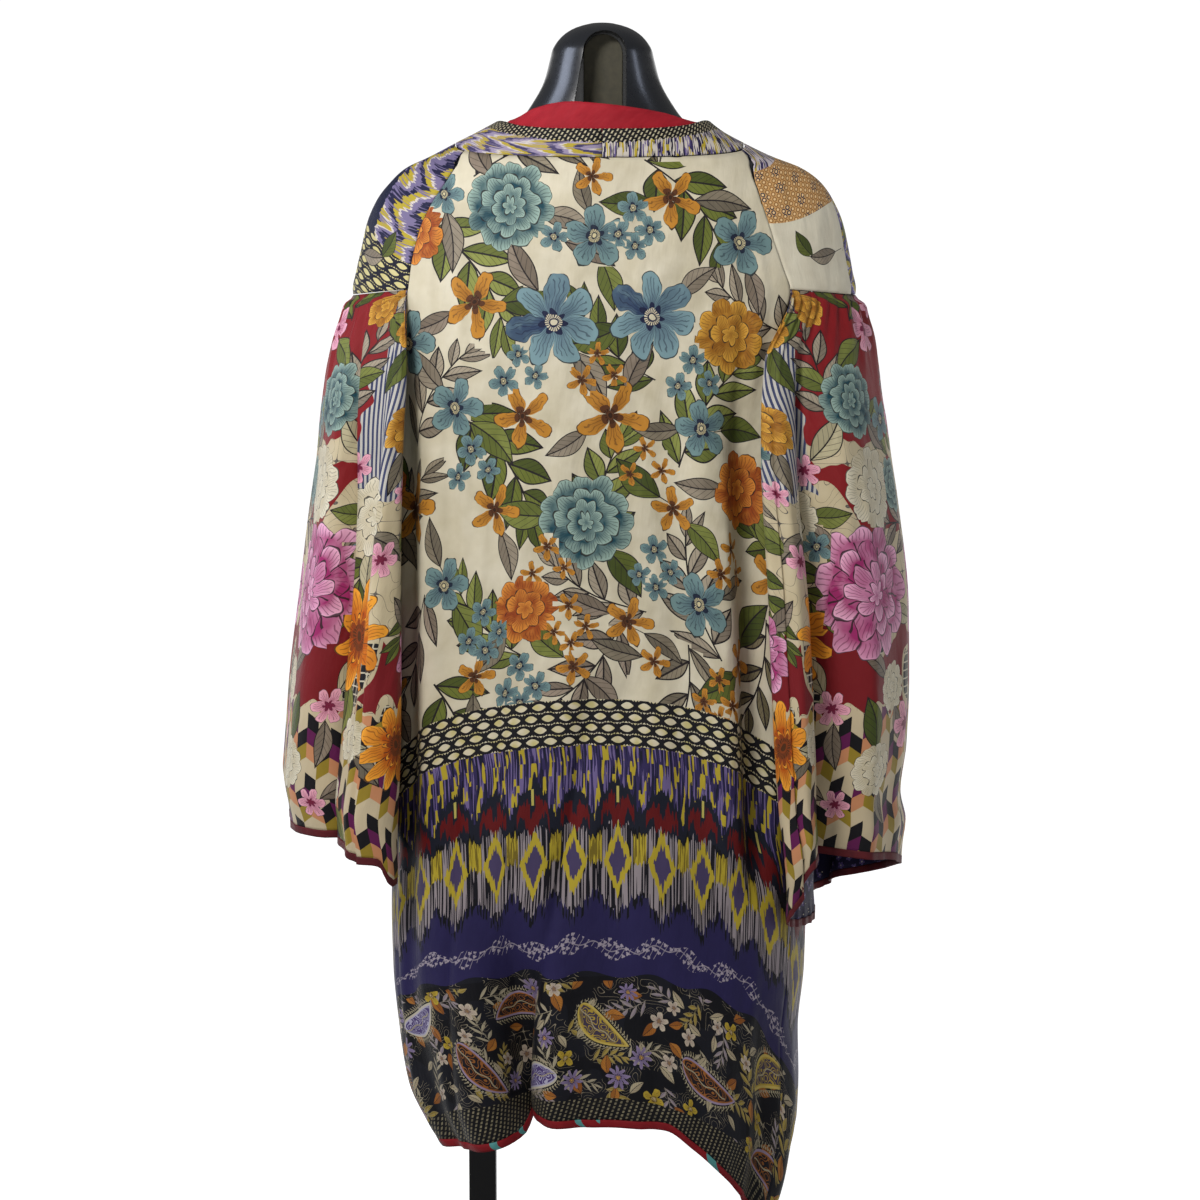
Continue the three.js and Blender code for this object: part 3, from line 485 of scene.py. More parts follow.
def sheet_mesh(node, points, cloth, materials, thick=CLOTH_THICK, closed=False, layers=()):
    """The cloth that stands for a node: a thin shell through a grid of points.

    cloth is the place of each point on the flat cloth, (u, v).
    """
    name = node + "_cloth"
    rows, columns = points.shape[:2]
    bm = bmesh.new()
    verts = [bm.verts.new(p / 1000) for p in points.reshape(-1, 3)]
    uv = bm.loops.layers.uv.new("cloth")
    flat = np.stack(cloth, -1).reshape(-1, 2)
    for r in range(rows - 1):
        for c in range(columns - 1):
            ids = [r * columns + c, (r + 1) * columns + c, (r + 1) * columns + c + 1, r * columns + c + 1]
            face = bm.faces.new([verts[i] for i in ids])
            face.smooth = True
            for loop, i in zip(face.loops, ids):
                loop[uv].uv = flat[i]
    mesh = bpy.data.meshes.new(name)
    bm.to_mesh(mesh)
    bm.free()
    for layer in layers:
        layer(mesh)
    piece = bpy.data.objects.new(name, mesh)
    bpy.context.collection.objects.link(piece)
    for material in materials:
        mesh.materials.append(material)
    if closed:
        weld = bmesh.new()
        weld.from_mesh(mesh)
        bmesh.ops.remove_doubles(weld, verts=weld.verts, dist=1e-6)
        weld.to_mesh(mesh)
        weld.free()
    shell = piece.modifiers.new("thickness", "SOLIDIFY")
    shell.thickness = thick / 1000
    shell.offset = -1
    shell.material_offset = len(materials) - 1
    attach(piece, "root")
    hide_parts(node)
    return piece


def motif_layer(name, motifs, fields, oval=(0, 1, 1)):
    """Gives each face the place, in its nearest motif's own frame, and that motif's fields.

    motifs are rows of u, v, size, turn, then a value for each field. oval is the middle and the
    half length and half width of the ground that each motif covers, in its own frame.
    """

    def fill(mesh):
        cloth = np.empty(len(mesh.loops) * 2, np.float32)
        mesh.uv_layers["cloth"].data.foreach_get("uv", cloth)
        cloth = cloth.reshape(-1, 4, 2)
        centre = cloth.mean(1)
        places = np.array([m[:4] for m in motifs], float)

        def local(points, chosen):
            off = (points - chosen[..., :2]) / chosen[..., 2:3]
            turn = np.radians(chosen[..., 3])
            cos, sin = np.cos(turn), np.sin(turn)
            return off[..., 0] * cos + off[..., 1] * sin, off[..., 1] * cos - off[..., 0] * sin

        middle, long, wide = oval
        x, y = local(centre[:, None, :], places[None])
        nearest = np.hypot((x - middle) / long, y / wide).argmin(1)
        x, y = local(cloth, places[nearest][:, None, :])
        uv = mesh.uv_layers.new(name=name)
        uv.data.foreach_set("uv", np.stack([x, y], -1).astype(np.float32).ravel())
        for i, field in enumerate(fields):
            values = [m[4 + i] for m in motifs]
            if isinstance(values[0], tuple):
                data = np.array([(*linear(v), 1) for v in values], np.float32)[nearest]
                mesh.attributes.new(field, "FLOAT_COLOR", "FACE").data.foreach_set("color", data.ravel())
            else:
                data = np.array(values, np.float32)[nearest]
                mesh.attributes.new(field, "FLOAT", "FACE").data.foreach_set("value", data)

    return fill


def radius(x, y):
    return (x * x + y * y) ** 0.5


# The colours and flowers of the print. Each kind has its petals, rings, shape of petal and three colours.
INK, CREAM, PURPLE = (38, 33, 34), (214, 204, 176), (38, 33, 76)
YELLOW, RED, NIGHT = (178, 158, 48), (96, 18, 20), (12, 12, 18)
KIND_FIELDS = ("petals", "rings", "depth", "power", "light", "dark", "heart")
KINDS = {
    "blue": (5, 1, 0.62, 0.6, (112, 140, 140), (24, 44, 72), (204, 192, 150)),
    "anemone": (7, 1, 0.5, 0.6, (122, 152, 158), (20, 38, 82), (210, 200, 172)),
    "dahlia": (6, 4, 0.5, 0.7, (152, 176, 164), (26, 66, 78), (60, 70, 80)),
    "star": (5, 1, 0.85, 1.2, (192, 132, 48), (118, 66, 22), (52, 32, 20)),
    "marigold": (5, 3, 0.42, 0.7, (222, 142, 58), (150, 66, 26), (70, 34, 20)),
    "peony": (5, 4, 0.66, 1.1, (238, 178, 208), (158, 44, 104), (112, 30, 66)),
    "pink": (6, 1, 0.55, 0.8, (232, 168, 186), (156, 44, 88), (120, 24, 54)),
    "flame": (10, 2, 0.7, 1.2, (242, 164, 52), (184, 82, 16), (84, 50, 26)),
    "gold": (5, 3, 0.45, 0.7, (214, 160, 62), (148, 94, 28), (90, 84, 80)),
    "outline": (7, 3, 0.4, 0.8, (222, 214, 190), (200, 188, 158), (120, 110, 70)),
    "lilac": (9, 1, 0.75, 0.8, (140, 124, 158), (86, 72, 112), (206, 160, 60)),
    "buttercup": (4, 1, 0.7, 0.8, (184, 158, 54), (132, 104, 32), (190, 170, 130)),
    "white": (5, 1, 0.6, 0.8, (192, 178, 158), (150, 128, 122), (150, 110, 60)),
}
LEAF_FIELDS = ("leaf_width", "leaf_light", "leaf_dark")
SPRAY_FIELDS = ("spray_width", "spray_light", "spray_dark", "spray_ink")


def leaf_fill(s, x, y, width, light, dark, ink, line=0.02):
    """Whether a point is on a leaf that runs along x from 0 to 1, and the leaf's colour there."""
    side = y.abs()
    half = (x * math.pi).sin() * width * (1.2 - 0.4 * x)
    inside = (side < half) * (x > 0) * (x < 1)
    vein = (((x - side * 1.3) * 7).fract() - 0.5).near(0.06) * (side < half * 0.85) * 0.6
    fill = s.over((y > 0) * 0.7, light, dark)
    fill = s.over((vein + y.near(line * 0.6)).min(1), fill, ink)
    return inside, s.over(side > half - line, fill, ink)


def add_leaves(s, under, ink=INK):
    x, y = s.uv("leaf")
    y = y + 0.07 * (x * 3).sin()
    light = s.over(s.noise(x * 3, y * 7) * 0.7, s.field("leaf_light", True), s.field("leaf_dark", True))
    inside, fill = leaf_fill(s, x, y, s.field("leaf_width"), light, s.field("leaf_dark", True), ink)
    stem = y.near(0.009) * (x > -0.3) * (x < 0.06)
    return s.over(stem, s.over(inside, under, fill), ink)


def add_sprays(s, under):
    """Stems with leaves in pairs."""
    x, y = s.uv("spray")
    y = y + 0.1 * (x * 3.3).sin()
    flip = (y > 0) * 2 - 1
    side = y.abs()
    width, light, dark = s.field("spray_width"), s.field("spray_light", True), s.field("spray_dark", True)
    ink = s.field("spray_ink", True)
    colour = s.over((side < 0.006) * (x > 0) * (x < 0.9), under, ink)
    for at, long, lean in ((0.06, 0.34, 50), (0.28, 0.36, 42), (0.5, 0.32, 38), (0.7, 0.25, 34)):
        cos, sin = math.cos(math.radians(lean)), math.sin(math.radians(lean))
        px = x - at - 0.045 * flip
        inside, fill = leaf_fill(
            s, (px * cos + side * sin) / long, (side * cos - px * sin) / long, width, light, dark, ink, 0.03
        )
        colour = s.over(inside, colour, fill)
    inside, fill = leaf_fill(s, (x - 0.8) / 0.24, y / 0.24, width, light, dark, ink, 0.03)
    return s.over(inside, colour, fill)


def add_blooms(s, under, ink=INK):
    """Flowers in rings of petals, dark at the foot of each petal, with some petals darker than others."""
    x, y = s.uv("bloom")
    petals, rings = s.field("petals"), s.field("rings")
    depth, power = s.field("depth"), s.field("power")
    dark, light = s.field("dark", True), s.field("light", True)
    kind = rings + petals * 1.7
    aside = s.noise(x * 1.7, y * 1.7 + kind) - 0.5
    along = s.noise(x * 1.7 + 9, y * 1.7 + kind) - 0.5
    x, y = x + 0.34 * aside, y + 0.4 * along
    r, a = radius(x, y), y.angle(x)
    reach = r**0.85 * rings
    ring = reach.floor()
    sweep = a * (petals + ring * (rings > 2.5) * 2) * (0.5 / math.pi) + ring * 0.37 + 0.5
    lobe = ((sweep - 0.5) * math.pi).cos().abs()
    tone = s.noise(sweep.floor() * 3.1, ring * 2.3 + petals, 0.0)
    tip = (1 - depth + depth * lobe**power) * (0.82 + 0.36 * tone)
    place = (reach - ring) / tip
    inside = (1 - (ring > rings - 1.5) * (place > 1)) * (r < 0.999)
    fill = s.over((place.min(1) * (place < 1)) ** 0.9 * 1.1, dark, light)
    fill = s.over((tone - 0.55).max(0) * 6 * (rings < 4.5), fill, dark)
    fill = s.over((s.noise(x * 3 + 3, y * 3) - 0.42).max(0) * 1.8, fill, light)
    vein = (sweep * 6.5 + s.noise(x * 4, y * 4) * 1.6).fract() - 0.5
    streak = vein.near(0.11) * (place < 0.85) * (place > 0.12)
    fill = s.over(streak * 0.6, fill, s.over(0.6, dark, ink))
    rim = (1 - place).near(0.03 * rings**0.6) + (r < 0.95) * (lobe < 0.1) * (depth > 0.55) * (r > 0.12)
    fill = s.over(rim.min(1) * 0.9, fill, ink)
    single = rings < 2.5
    fill = s.over((r < 0.17 + 0.16 * lobe) * single, fill, s.over(0.5, dark, ink))
    stamens = ((r - 0.15).near(0.045) * ((a * (11 / math.pi)).fract() > 0.45) + (r < 0.07)).min(1)
    fill = s.over(stamens * single, fill, s.field("heart", True))
    return s.over(inside, under, fill)


DROP_FIELDS = ("drop_ground", "drop_line", "drop_rim")


def add_drops(s, under, dot=(160, 150, 122)):
    """Paisleys: bent drops with rims, curls inside and a row of dots round them."""
    x, y = s.uv("drop")
    y = y + 0.24 * x * x - 0.08
    half = ((x + 1) * 0.5).max(0) ** 0.5 * (1 - x).max(0) ** 0.85 * 0.54
    depth = half - y.abs()
    line = s.field("drop_line", True)
    curl = ((s.noise(x * 3.4, y * 3.4, 0.0) * 8).fract() - 0.5).near(0.15)
    fill = s.over(curl, s.field("drop_ground", True), line)
    fill = s.over((y + 0.05 * (x * 9).sin()).near(0.018) * (x < 0.6), fill, dot)
    fill = s.over(depth < 0.1, fill, line)
    fill = s.over(depth < 0.06, fill, s.field("drop_rim", True))
    beads = (depth + 0.07).near(0.028) * ((x * 11).fract() > 0.4)
    hooks = (depth + 0.14).near(0.05) * (((x + y.abs() * 0.5) * 9).fract() < 0.24)
    under = s.over((beads + hooks).min(1) * (x > -1.05) * (x < 1), under, dot)
    return s.over(depth > 0, under, fill)


def ragged(s, u, v, reach, thread=1.5):
    """v, torn up and down along u as dyed threads are."""
    fine = s.noise(u / thread, v * 0.01, 0.0) - 0.5
    coarse = s.noise(u / (thread * 4.5), v * 0.008, 0.0) - 0.5
    return v + (fine * 2.6 + coarse * 1.8) * reach


def drips(s, u, v):
    """Upright strokes of dye, violet and lilac, with yellow drops."""
    threads = s.noise(u / 2.0, v / 46, 1.0)
    colour = s.over(threads > 0.56, (50, 42, 84), (112, 98, 144))
    colour = s.over(threads < 0.45, colour, (26, 26, 46))
    x = ((u / 12.5 + 0.2 * (v / 12).floor()).fract() - 0.5) * 12.5
    drop = s.noise(u / 3.0 + 11, v / 18, 0.0)
    return s.over((drop > 0.5) * x.near(2.6), colour, YELLOW)


def chain(s, u, v, row_height=9.8, length=15.0, strand=2.3, ground=CREAM, line=(24, 23, 28)):
    """Rows of links: two strands that cross and part."""
    u = u + 2.4 * (s.noise(u / 26, v / 20, 0.0) - 0.5)
    row = (v / row_height).fract() * row_height - row_height / 2
    shift = (v / row_height).floor() * 0.5
    swing = ((u / length + shift) * math.pi).sin() * (row_height * 0.46)
    thick = strand * (0.7 + 0.8 * (swing.abs() < row_height * 0.2))
    tint = s.over((s.noise(u / 9, v / 9, 0.0) - 0.4).max(0) * 3, ground, (200, 188, 128))
    strands = ((row - swing) < thick) * ((row - swing) > thick * -1) + ((row + swing).abs() < thick)
    return s.over(strands, tint, line)


# The border print: how far below the neck seam each part of it lies, and the width of one arch of the ikat.
BORDER_TOP, CHAIN_FOOT, SPRIG_LINE, NIGHT_TOP, MOTIFS_FROM, DOTS_TOP = 452, 491.2, 664, 688, 694, 797
ARCH = 38


def border(s, u, v, under):
    """The border print: a chain, torn ikat, a strip of sprigs and a night ground, one below the other."""
    yr = ragged(s, u, v, 6)
    body = drips(s, u, v)
    arch = u / ARCH + 0.15
    x = (arch.fract() - 0.5) * ARCH
    other = (arch.floor() * 0.5).fract() * 2
    top = yr - 4 * other
    rise = (x.abs() / (ARCH / 2)) ** 2
    body = s.over(top > 522 + 26 * rise, body, (24, 27, 40))
    heart = (top > 533 + 20 * rise) * (top < 558 + 10 * (x * 0.33).cos()) * (x.abs() < 14)
    heart = heart * (1 - x.near(2.4) * (top < 545))
    body = s.over(heart, body, RED)
    body = s.over((v - 533 - 4 * other).near(7) * x.near(1.1) * (other < 1), body, (186, 174, 90))
    body = s.over(top > 561, body, NIGHT)
    # pale strokes, yellow lozenges with violet hearts and short yellow bars between them
    half = (((arch + 0.5).fract() - 0.5) * ARCH).abs()
    strokes = s.over(s.noise(u / 1.3 + 9, v / 70, 0.0) > 0.51, (20, 18, 26), (148, 138, 142))
    lower = 636 - 22 * (1 - half / (ARCH / 2))
    body = s.over((yr > 560 + 14 * (1 - half / 10).max(0)) * (yr < lower), body, strokes)
    lozenge = (yr - 590).abs() / 30 + x.abs() / 12.5
    body = s.over(lozenge < 1.0, body, YELLOW)
    body = s.over(lozenge < 0.62, body, (70, 60, 94))
    bar = s.over(s.noise(u / 1.4, v / 30) > 0.5, YELLOW, (116, 100, 34))
    body = s.over((yr - 578).near(12) * half.near(5.5), body, bar)
    body = s.over(yr > lower, body, s.over(s.noise(u / 2 + 5, v / 40, 0.0) > 0.5, NIGHT, (40, 36, 74)))
    body = s.over(yr > lower + 9, body, PURPLE)
    # a strip of pale sprigs
    drift = v - SPRIG_LINE - 4 * (u / 12).sin()
    bud_x, bud_y, one = s.cells(u / 4.6, v / 4.6)
    petals = (radius(bud_x, bud_y) < 0.2 + 0.2 * (bud_y.angle(bud_x) * 1.5).cos().abs())
    reach = 6 + 3.5 * (u / 5.5).sin()
    sprig = petals * (one > 0.3) * (drift.abs() < reach)
    stem = (drift - 2.5 * (u / 4).sin()).near(0.5)
    twig = (stem + ((u / 5.2 + drift / 9).fract() - 0.5).near(0.06) * (drift.abs() < reach)).min(1)
    body = s.over((sprig * 0.9 + twig * 0.7).min(1) * (v > 645), body, (164, 154, 164))
    # night ground with curls and cream buds
    night = s.over(s.noise(u / 30, v / 30, 0.0) > 0.5, NIGHT, (20, 21, 29))
    curl = ((s.noise(u / 12, v / 12, 0.0) * 9).fract() - 0.5).near(0.045)
    curl = curl * (s.noise(u / 24 + 4, v / 24, 0.0) > 0.5)
    night = s.over(curl, night, (140, 130, 110))
    body = s.over(v > NIGHT_TOP + 3 * (u / 9).sin(), body, night)
    body = s.over(v > BORDER_TOP, under, body)
    return s.over((v > BORDER_TOP) * (v < CHAIN_FOOT), body, chain(s, u, v - BORDER_TOP))


def dashes(s, u, v, wide, high, slope):
    """Rows of short dashes, each row half a step on from the last."""
    slant = (u + v * slope) / wide
    return (slant.fract() - 0.5).near(0.2) * ((v / high + slant.floor() * 0.5).fract() - 0.5).near(0.3)


def hem_dots(s, u, v, under):
    """Rows of small pale dashes on black, above the binding."""
    dash = dashes(s, u, v, 4.6, 3.3, 0.35) * (0.35 + s.noise(u / 7, v / 7, 0.0))
    return s.over(v > DOTS_TOP, under, s.over(dash, (12, 12, 16), (134, 125, 100)))


def silk(s, colour, roughness=0.46):
    """Finishes a shader as washed silk: soft sheen, threads and small creases."""
    u, v = s.uv("cloth")
    worn = s.noise(u / 50, v / 80, 4.0)
    colour = s.scale(colour, 0.78 + 0.36 * worn)
    s.put(s.bsdf.inputs["Base Color"], colour)
    s.put(s.bsdf.inputs["Roughness"], roughness - 0.06 + 0.16 * s.noise(u / 9, v / 22))
    s.put(s.bsdf.inputs["Sheen Weight"], 0.02)
    s.put(s.bsdf.inputs["Specular IOR Level"], 0.15)
    creases = s.noise(u / 13 + v / 90, v / 40, 3.0)
    soft = s.noise(u / 34 + v / 120, v / 70, 2.0)
    weave = (u * (2 * math.pi / 0.9)).sin() * 0.02 + (v * (2 * math.pi / 0.9)).sin() * 0.02
    bump = s.node("Bump", {"Strength": 0.7, "Distance": 0.003, "Height": creases * 0.7 + soft * 1.8 + weave})
    s.put(s.bsdf.inputs["Normal"], bump.outputs[0])
    return s.material


def back_silk():
    s = Shader("back_print")
    u, v = s.uv("cloth")
    mottle = s.noise(u / 30, v / 30, 4.0)
    ground = s.over((mottle - 0.3) * 2, (200, 190, 162), (224, 216, 194))
    bordered = border(s, u, v, ground)
    pattern = add_blooms(s, add_drops(s, add_leaves(s, add_sprays(s, bordered))))
    clear = (v > BORDER_TOP) * (v < MOTIFS_FROM)
    return silk(s, hem_dots(s, u, v, s.over(clear, pattern, bordered)))


def reverse_silk(name, ground, print_colour):
    """The cloth's reverse, where the print comes through pale and small."""
    s = Shader(name)
    u, v = s.uv("cloth")
    dx, dy, one = s.cells(u / 11, v / 11)
    r = radius(dx, dy)
    petals = (dy.angle(dx) * 2.5).cos().abs()
    colour = s.over((r < 0.16 + 0.14 * petals) * (one > 0.25), ground, print_colour)
    return silk(s, s.over(r < 0.06, colour, (200, 190, 170)), 0.6)


# Where motifs lie on the flat cloth: u from the middle of the back, v down from the neck, size, turn, kind.
PRINT_REACH, REPEAT, BACK_REACH = 410, 345, 212


def strewn(area, step, kinds, seed, placed=()):
    """Placed motifs and, between them, small ones on a jittered lattice."""
    rng = random.Random(seed)
    u0, v0, u1, v1 = area
    rows = [(u, v, size, turn, *KINDS[kind]) for u, v, size, turn, kind in placed]
    v, odd = v0, 0
    while v < v1:
        u = u0 + odd * step / 2
        while u < u1:
            kind, low, high = rng.choice(kinds)
            size = rng.uniform(low, high)
            uu, vv = u + rng.uniform(-0.3, 0.3) * step, v + rng.uniform(-0.3, 0.3) * step
            turn = rng.uniform(0, 360)
            if all(math.hypot(uu - r[0], vv - r[1]) > 0.85 * (size + r[2]) for r in rows):
                rows.append((uu, vv, size, turn, *KINDS[kind]))
            u += step
        v, odd = v + step * 0.8, 1 - odd
    return rows


def scattered(area, length, spread, seed, turns, hues, centre=0.5):
    """Rows for sprays, drops or leaves that keep clear of each other.

    centre is how far along its length the middle of each lies.
    """
    rng = random.Random(seed)
    u0, v0, u1, v1 = area
    rows = []
    for _ in range(1600):
        u, v, long = rng.uniform(u0, u1), rng.uniform(v0, v1), rng.uniform(*length)
        turn = rng.choice(turns) + rng.uniform(-18, 18)
        a = math.radians(turn)
        middle = u + math.cos(a) * long * centre, v + math.sin(a) * long * centre
        if all(math.dist(middle, r[-1]) > spread * long for r in rows):
            rows.append((u, v, long, turn, *rng.choice(hues), middle))
    return [r[:-1] for r in rows]


def leaves_round(motifs, count, length, seed, hues):
    """Leaves that grow out from under each motif."""
    rng = random.Random(seed)
    rows = []
    for u, v, size, *_ in motifs:
        start = rng.uniform(0, 360)
        for i in range(count):
            turn = start + 360 / count * i + rng.uniform(-30, 30)
            long, hue = rng.uniform(*length), rng.choice(hues)
            a = math.radians(turn)
            foot = u + math.cos(a) * size * 0.7, v + math.sin(a) * size * 0.7
            middle = foot[0] + math.cos(a) * long / 2, foot[1] + math.sin(a) * long / 2
            if all(math.dist(middle, r[-1]) > 0.6 * long for r in rows):
                rows.append((*foot, long, turn, *hue, middle))
    return [r[:-1] for r in rows]


BACK_BLOOMS = (
    (-78, 40, 38, 10, "dahlia"), (-6, 66, 27, 50, "blue"), (58, 34, 26, 20, "star"), (118, 70, 28, 0, "blue"),
    (-40, 136, 40, 15, "anemone"), (42, 132, 38, 60, "anemone"), (-108, 120, 29, 80, "star"),
    (108, 146, 31, 0, "gold"), (-126, 204, 25, 0, "blue"), (-66, 214, 27, 30, "star"),
    (8, 214, 32, 10, "star"), (84, 222, 24, 40, "blue"), (-14, 302, 40, 0, "dahlia"),
    (-92, 290, 23, 5, "star"), (60, 290, 20, 45, "star"), (128, 268, 32, 0, "marigold"),
    (-138, 346, 22, 0, "blue"), (-66, 374, 29, 20, "marigold"), (22, 386, 22, 0, "star"),
    (84, 366, 27, 30, "blue"), (-112, 424, 18, 0, "star"), (-24, 424, 16, 30, "star"),
    (132, 404, 20, 0, "star"), (-164, 60, 28, 0, "marigold"), (-172, 150, 27, 0, "blue"),
    (-176, 280, 30, 0, "star"), (176, 200, 27, 0, "anemone"), (172, 330, 24, 0, "star"),
    (-8, 16, 17, 0, "star"), (-40, 66, 13, 0, "blue"), (-136, 30, 18, 0, "blue"), (44, 418, 14, 0, "star"),
    (160, 30, 24, 0, "gold")
)
CLUSTERS = (
    (-70, 176, "blue"), (76, 180, "blue"), (44, 338, "blue"), (-46, 336, "star"), (116, 330, "star"),
    (-104, 386, "blue"), (26, 56, "blue"), (-28, 386, "star"), (102, 436, "star"), (-70, 434, "blue"),
    (-4, 176, "star"), (-112, 252, "blue"), (36, 254, "star")
)
LEAVES = (
    (0.23, (138, 144, 74), (82, 92, 38)), (0.2, (164, 152, 132), (118, 107, 92)),
    (0.24, (108, 116, 50), (54, 66, 28)), (0.18, (146, 135, 114), (98, 90, 76)),
    (0.19, (156, 141, 124), (106, 94, 80))
)
SPRAYS = tuple((*hue, INK) for hue in LEAVES) + ((0.16, (122, 112, 84), (92, 84, 58), INK),)
BORDER_LEAVES = (
    (0.24, (178, 112, 44), (132, 76, 30)), (0.26, (190, 126, 52), (140, 84, 34)),
    (0.2, (190, 178, 146), (160, 146, 120))
)
SPRIGS = (
    (0.1, (172, 162, 136), (150, 138, 116), (160, 150, 126)),
    (0.16, (164, 142, 58), (126, 106, 38), (150, 134, 92)),
    (0.12, (150, 136, 148), (110, 98, 126), (150, 140, 130))
)
DROPS = (
    ((66, 56, 74), (176, 150, 60), (192, 170, 88)), ((26, 24, 30), (150, 92, 42), (150, 134, 158)),
    ((66, 56, 74), (176, 150, 60), (192, 170, 88)), ((74, 58, 112), (172, 168, 190), (190, 182, 160))
)


def clustered(places, size, seed):
    """Three or four small flowers round each place."""
    rng = random.Random(seed)
    spots = ((0, -0.9), (0.95, 0.3), (-0.85, 0.55), (0.1, 1.2))
    apart = size * 1.25
    return [
        (u + x * apart, v + y * apart, size * rng.uniform(0.85, 1.2), rng.uniform(0, 90), kind)
        for u, v, kind in places
        for x, y in spots[: rng.choice((3, 4))]
    ]


# The fronts are cut from the same print, one repeat to each side.
FRONT_BLOOMS = tuple(
    (shift + u, v, size, turn + 70, kind)
    for shift in (-REPEAT, REPEAT)
    for u, v, size, turn, kind in BACK_BLOOMS
    if abs(shift + u) > BACK_REACH
)
FRONT_CLUSTERS = tuple(
    (shift + u, v, kind)
    for shift in (-REPEAT, REPEAT)
    for u, v, kind in CLUSTERS
    if abs(shift + u) > BACK_REACH
)
main_blooms = (*BACK_BLOOMS, *FRONT_BLOOMS)
back_motifs = [(*m[:4], *KINDS[m[4]]) for m in (*main_blooms, *clustered(CLUSTERS + FRONT_CLUSTERS, 12, 2))]
DROP_PLACES = scattered((-PRINT_REACH, 712, PRINT_REACH, 782), (27, 32), 2.25, 5, (0, 180, 40, 150), DROPS, 0)
NIGHT_KINDS = (("lilac", 9, 12), ("buttercup", 8, 10), ("lilac", 8, 11), ("white", 6, 9))
night_blooms = strewn((-PRINT_REACH, 706, PRINT_REACH, 800), 34, NIGHT_KINDS, 8)


def clear_of_drops(bloom):
    return all(math.dist(bloom[:2], drop[:2]) > 0.8 * drop[2] + 0.5 * bloom[2] for drop in DROP_PLACES)


border_motifs = list(filter(clear_of_drops, night_blooms))
back_leaves = leaves_round(back_motifs[: len(main_blooms)], 2, (40, 54), 5, LEAVES)
back_sprays = scattered((-PRINT_REACH, -10, PRINT_REACH, 430), (104, 140), 0.74, 7, range(0, 360, 45), SPRAYS)
NIGHT_AREA = (-PRINT_REACH, 700, PRINT_REACH, 800)
night_leaves = scattered(NIGHT_AREA, (15, 20), 1.25, 6, range(0, 360, 30), BORDER_LEAVES)
night_sprigs = scattered(NIGHT_AREA, (32, 42), 0.9, 9, range(0, 360, 40), SPRIGS)
LEAF_OVAL, SPRAY_OVAL, DROP_OVAL = (0.5, 0.55, 0.3), (0.5, 0.6, 0.4), (0, 1.1, 0.75)
BACK_LAYERS = (
    motif_layer("bloom", back_motifs + border_motifs, KIND_FIELDS),
    motif_layer("leaf", back_leaves + night_leaves, LEAF_FIELDS, LEAF_OVAL),
    motif_layer("spray", back_sprays + night_sprigs, SPRAY_FIELDS, SPRAY_OVAL),
    motif_layer("drop", DROP_PLACES, DROP_FIELDS, DROP_OVAL),
)

FALL = table(
    "v left right", (0, 0, 0), (300, 22, 26), (452, 46, 54), (640, 48, 78), (690, 30, 74), (824, 38, 96)
)


def hem_drop(angle, v):
    """How much lower the print's rows lie at the sides."""
    left = read(FALL, "v", v, "left") * (angle / 62) ** 2
    right = read(FALL, "v", v, "right") * (angle / 52) ** 2
    return np.minimum(np.where(angle < 0, left, right), 120)


MM_PER_DEGREE = 2.6  # round the body


def body_cloth(angle, z, points):
    """Flat coordinates of the body's cloth: u from the centre of the back, v down from the neck seam."""
    steps = arc_lengths(points)

    def middle_of_back(a, s):
        if a[0] < 0 < a[-1]:
            return np.interp(0, a, s)
        return s[0] - abs(a[0]) * MM_PER_DEGREE if a[0] > 0 else s[-1] + abs(a[-1]) * MM_PER_DEGREE

    middle = np.array([middle_of_back(a, s) for a, s in zip(angle, steps)])
    v = NECK_SEAM - z
    for _ in range(4):
        v = NECK_SEAM - z - hem_drop(angle, v)
    return steps - middle[:, None], v


back_print = back_silk()
reverse = reverse_silk("reverse_print", (146, 120, 112), (112, 44, 52))


def body_piece(node, grid):
    angle, z = grid
    points = drape(angle, z, CLOTH_FACE)
    cloth = body_cloth(angle, z, points)
    return sheet_mesh(node, points, cloth, [back_print, reverse], layers=BACK_LAYERS)


back_cloth = body_piece("back_panel", back_grid(200, 1.35))

# ------------------------------------------------------------------ fronts
# Two open fronts of the same silk, the right one wider, because the cardigan hangs askew on the form.
# Each is sewn to the back at the side seam, to its sleeve and yoke, and to the band down the front edge.
FRONT_SEAM, BAND_WIDTH = 1005, 38
FRONT_EDGE = table(
    "z x", (130, 64), (300, 58), (500, 52), (700, 52), (900, 62), (1000, 74), (1050, 82), (1080, 92)
)


def front_angle(side, x, z):
    """The angle at which the front surface is x from the centre of the front."""
    low, high = np.zeros_like(z), np.full_like(z, 90.0)
    square, half = read(SQUARE, "z", z, "square"), read(BODY, "z", z, side)
    for _ in range(30):
        middle = (low + high) / 2
        turn = np.radians(middle)
        short = half * (np.sin(turn) + square * np.sin(3 * turn)) / (1 - square) < x
        low, high = np.where(short, middle, low), np.where(short, high, middle)
    return SIGN[side] * (180 - low)


def band_inner(side, z):
    z = np.asarray(z, float)
    return front_angle(side, read(FRONT_EDGE, "z", z, "x"), z)


def band_outer(side, z):
    z = np.asarray(z, float)
    return front_angle(side, read(FRONT_EDGE, "z", z, "x") + BAND_WIDTH, z)


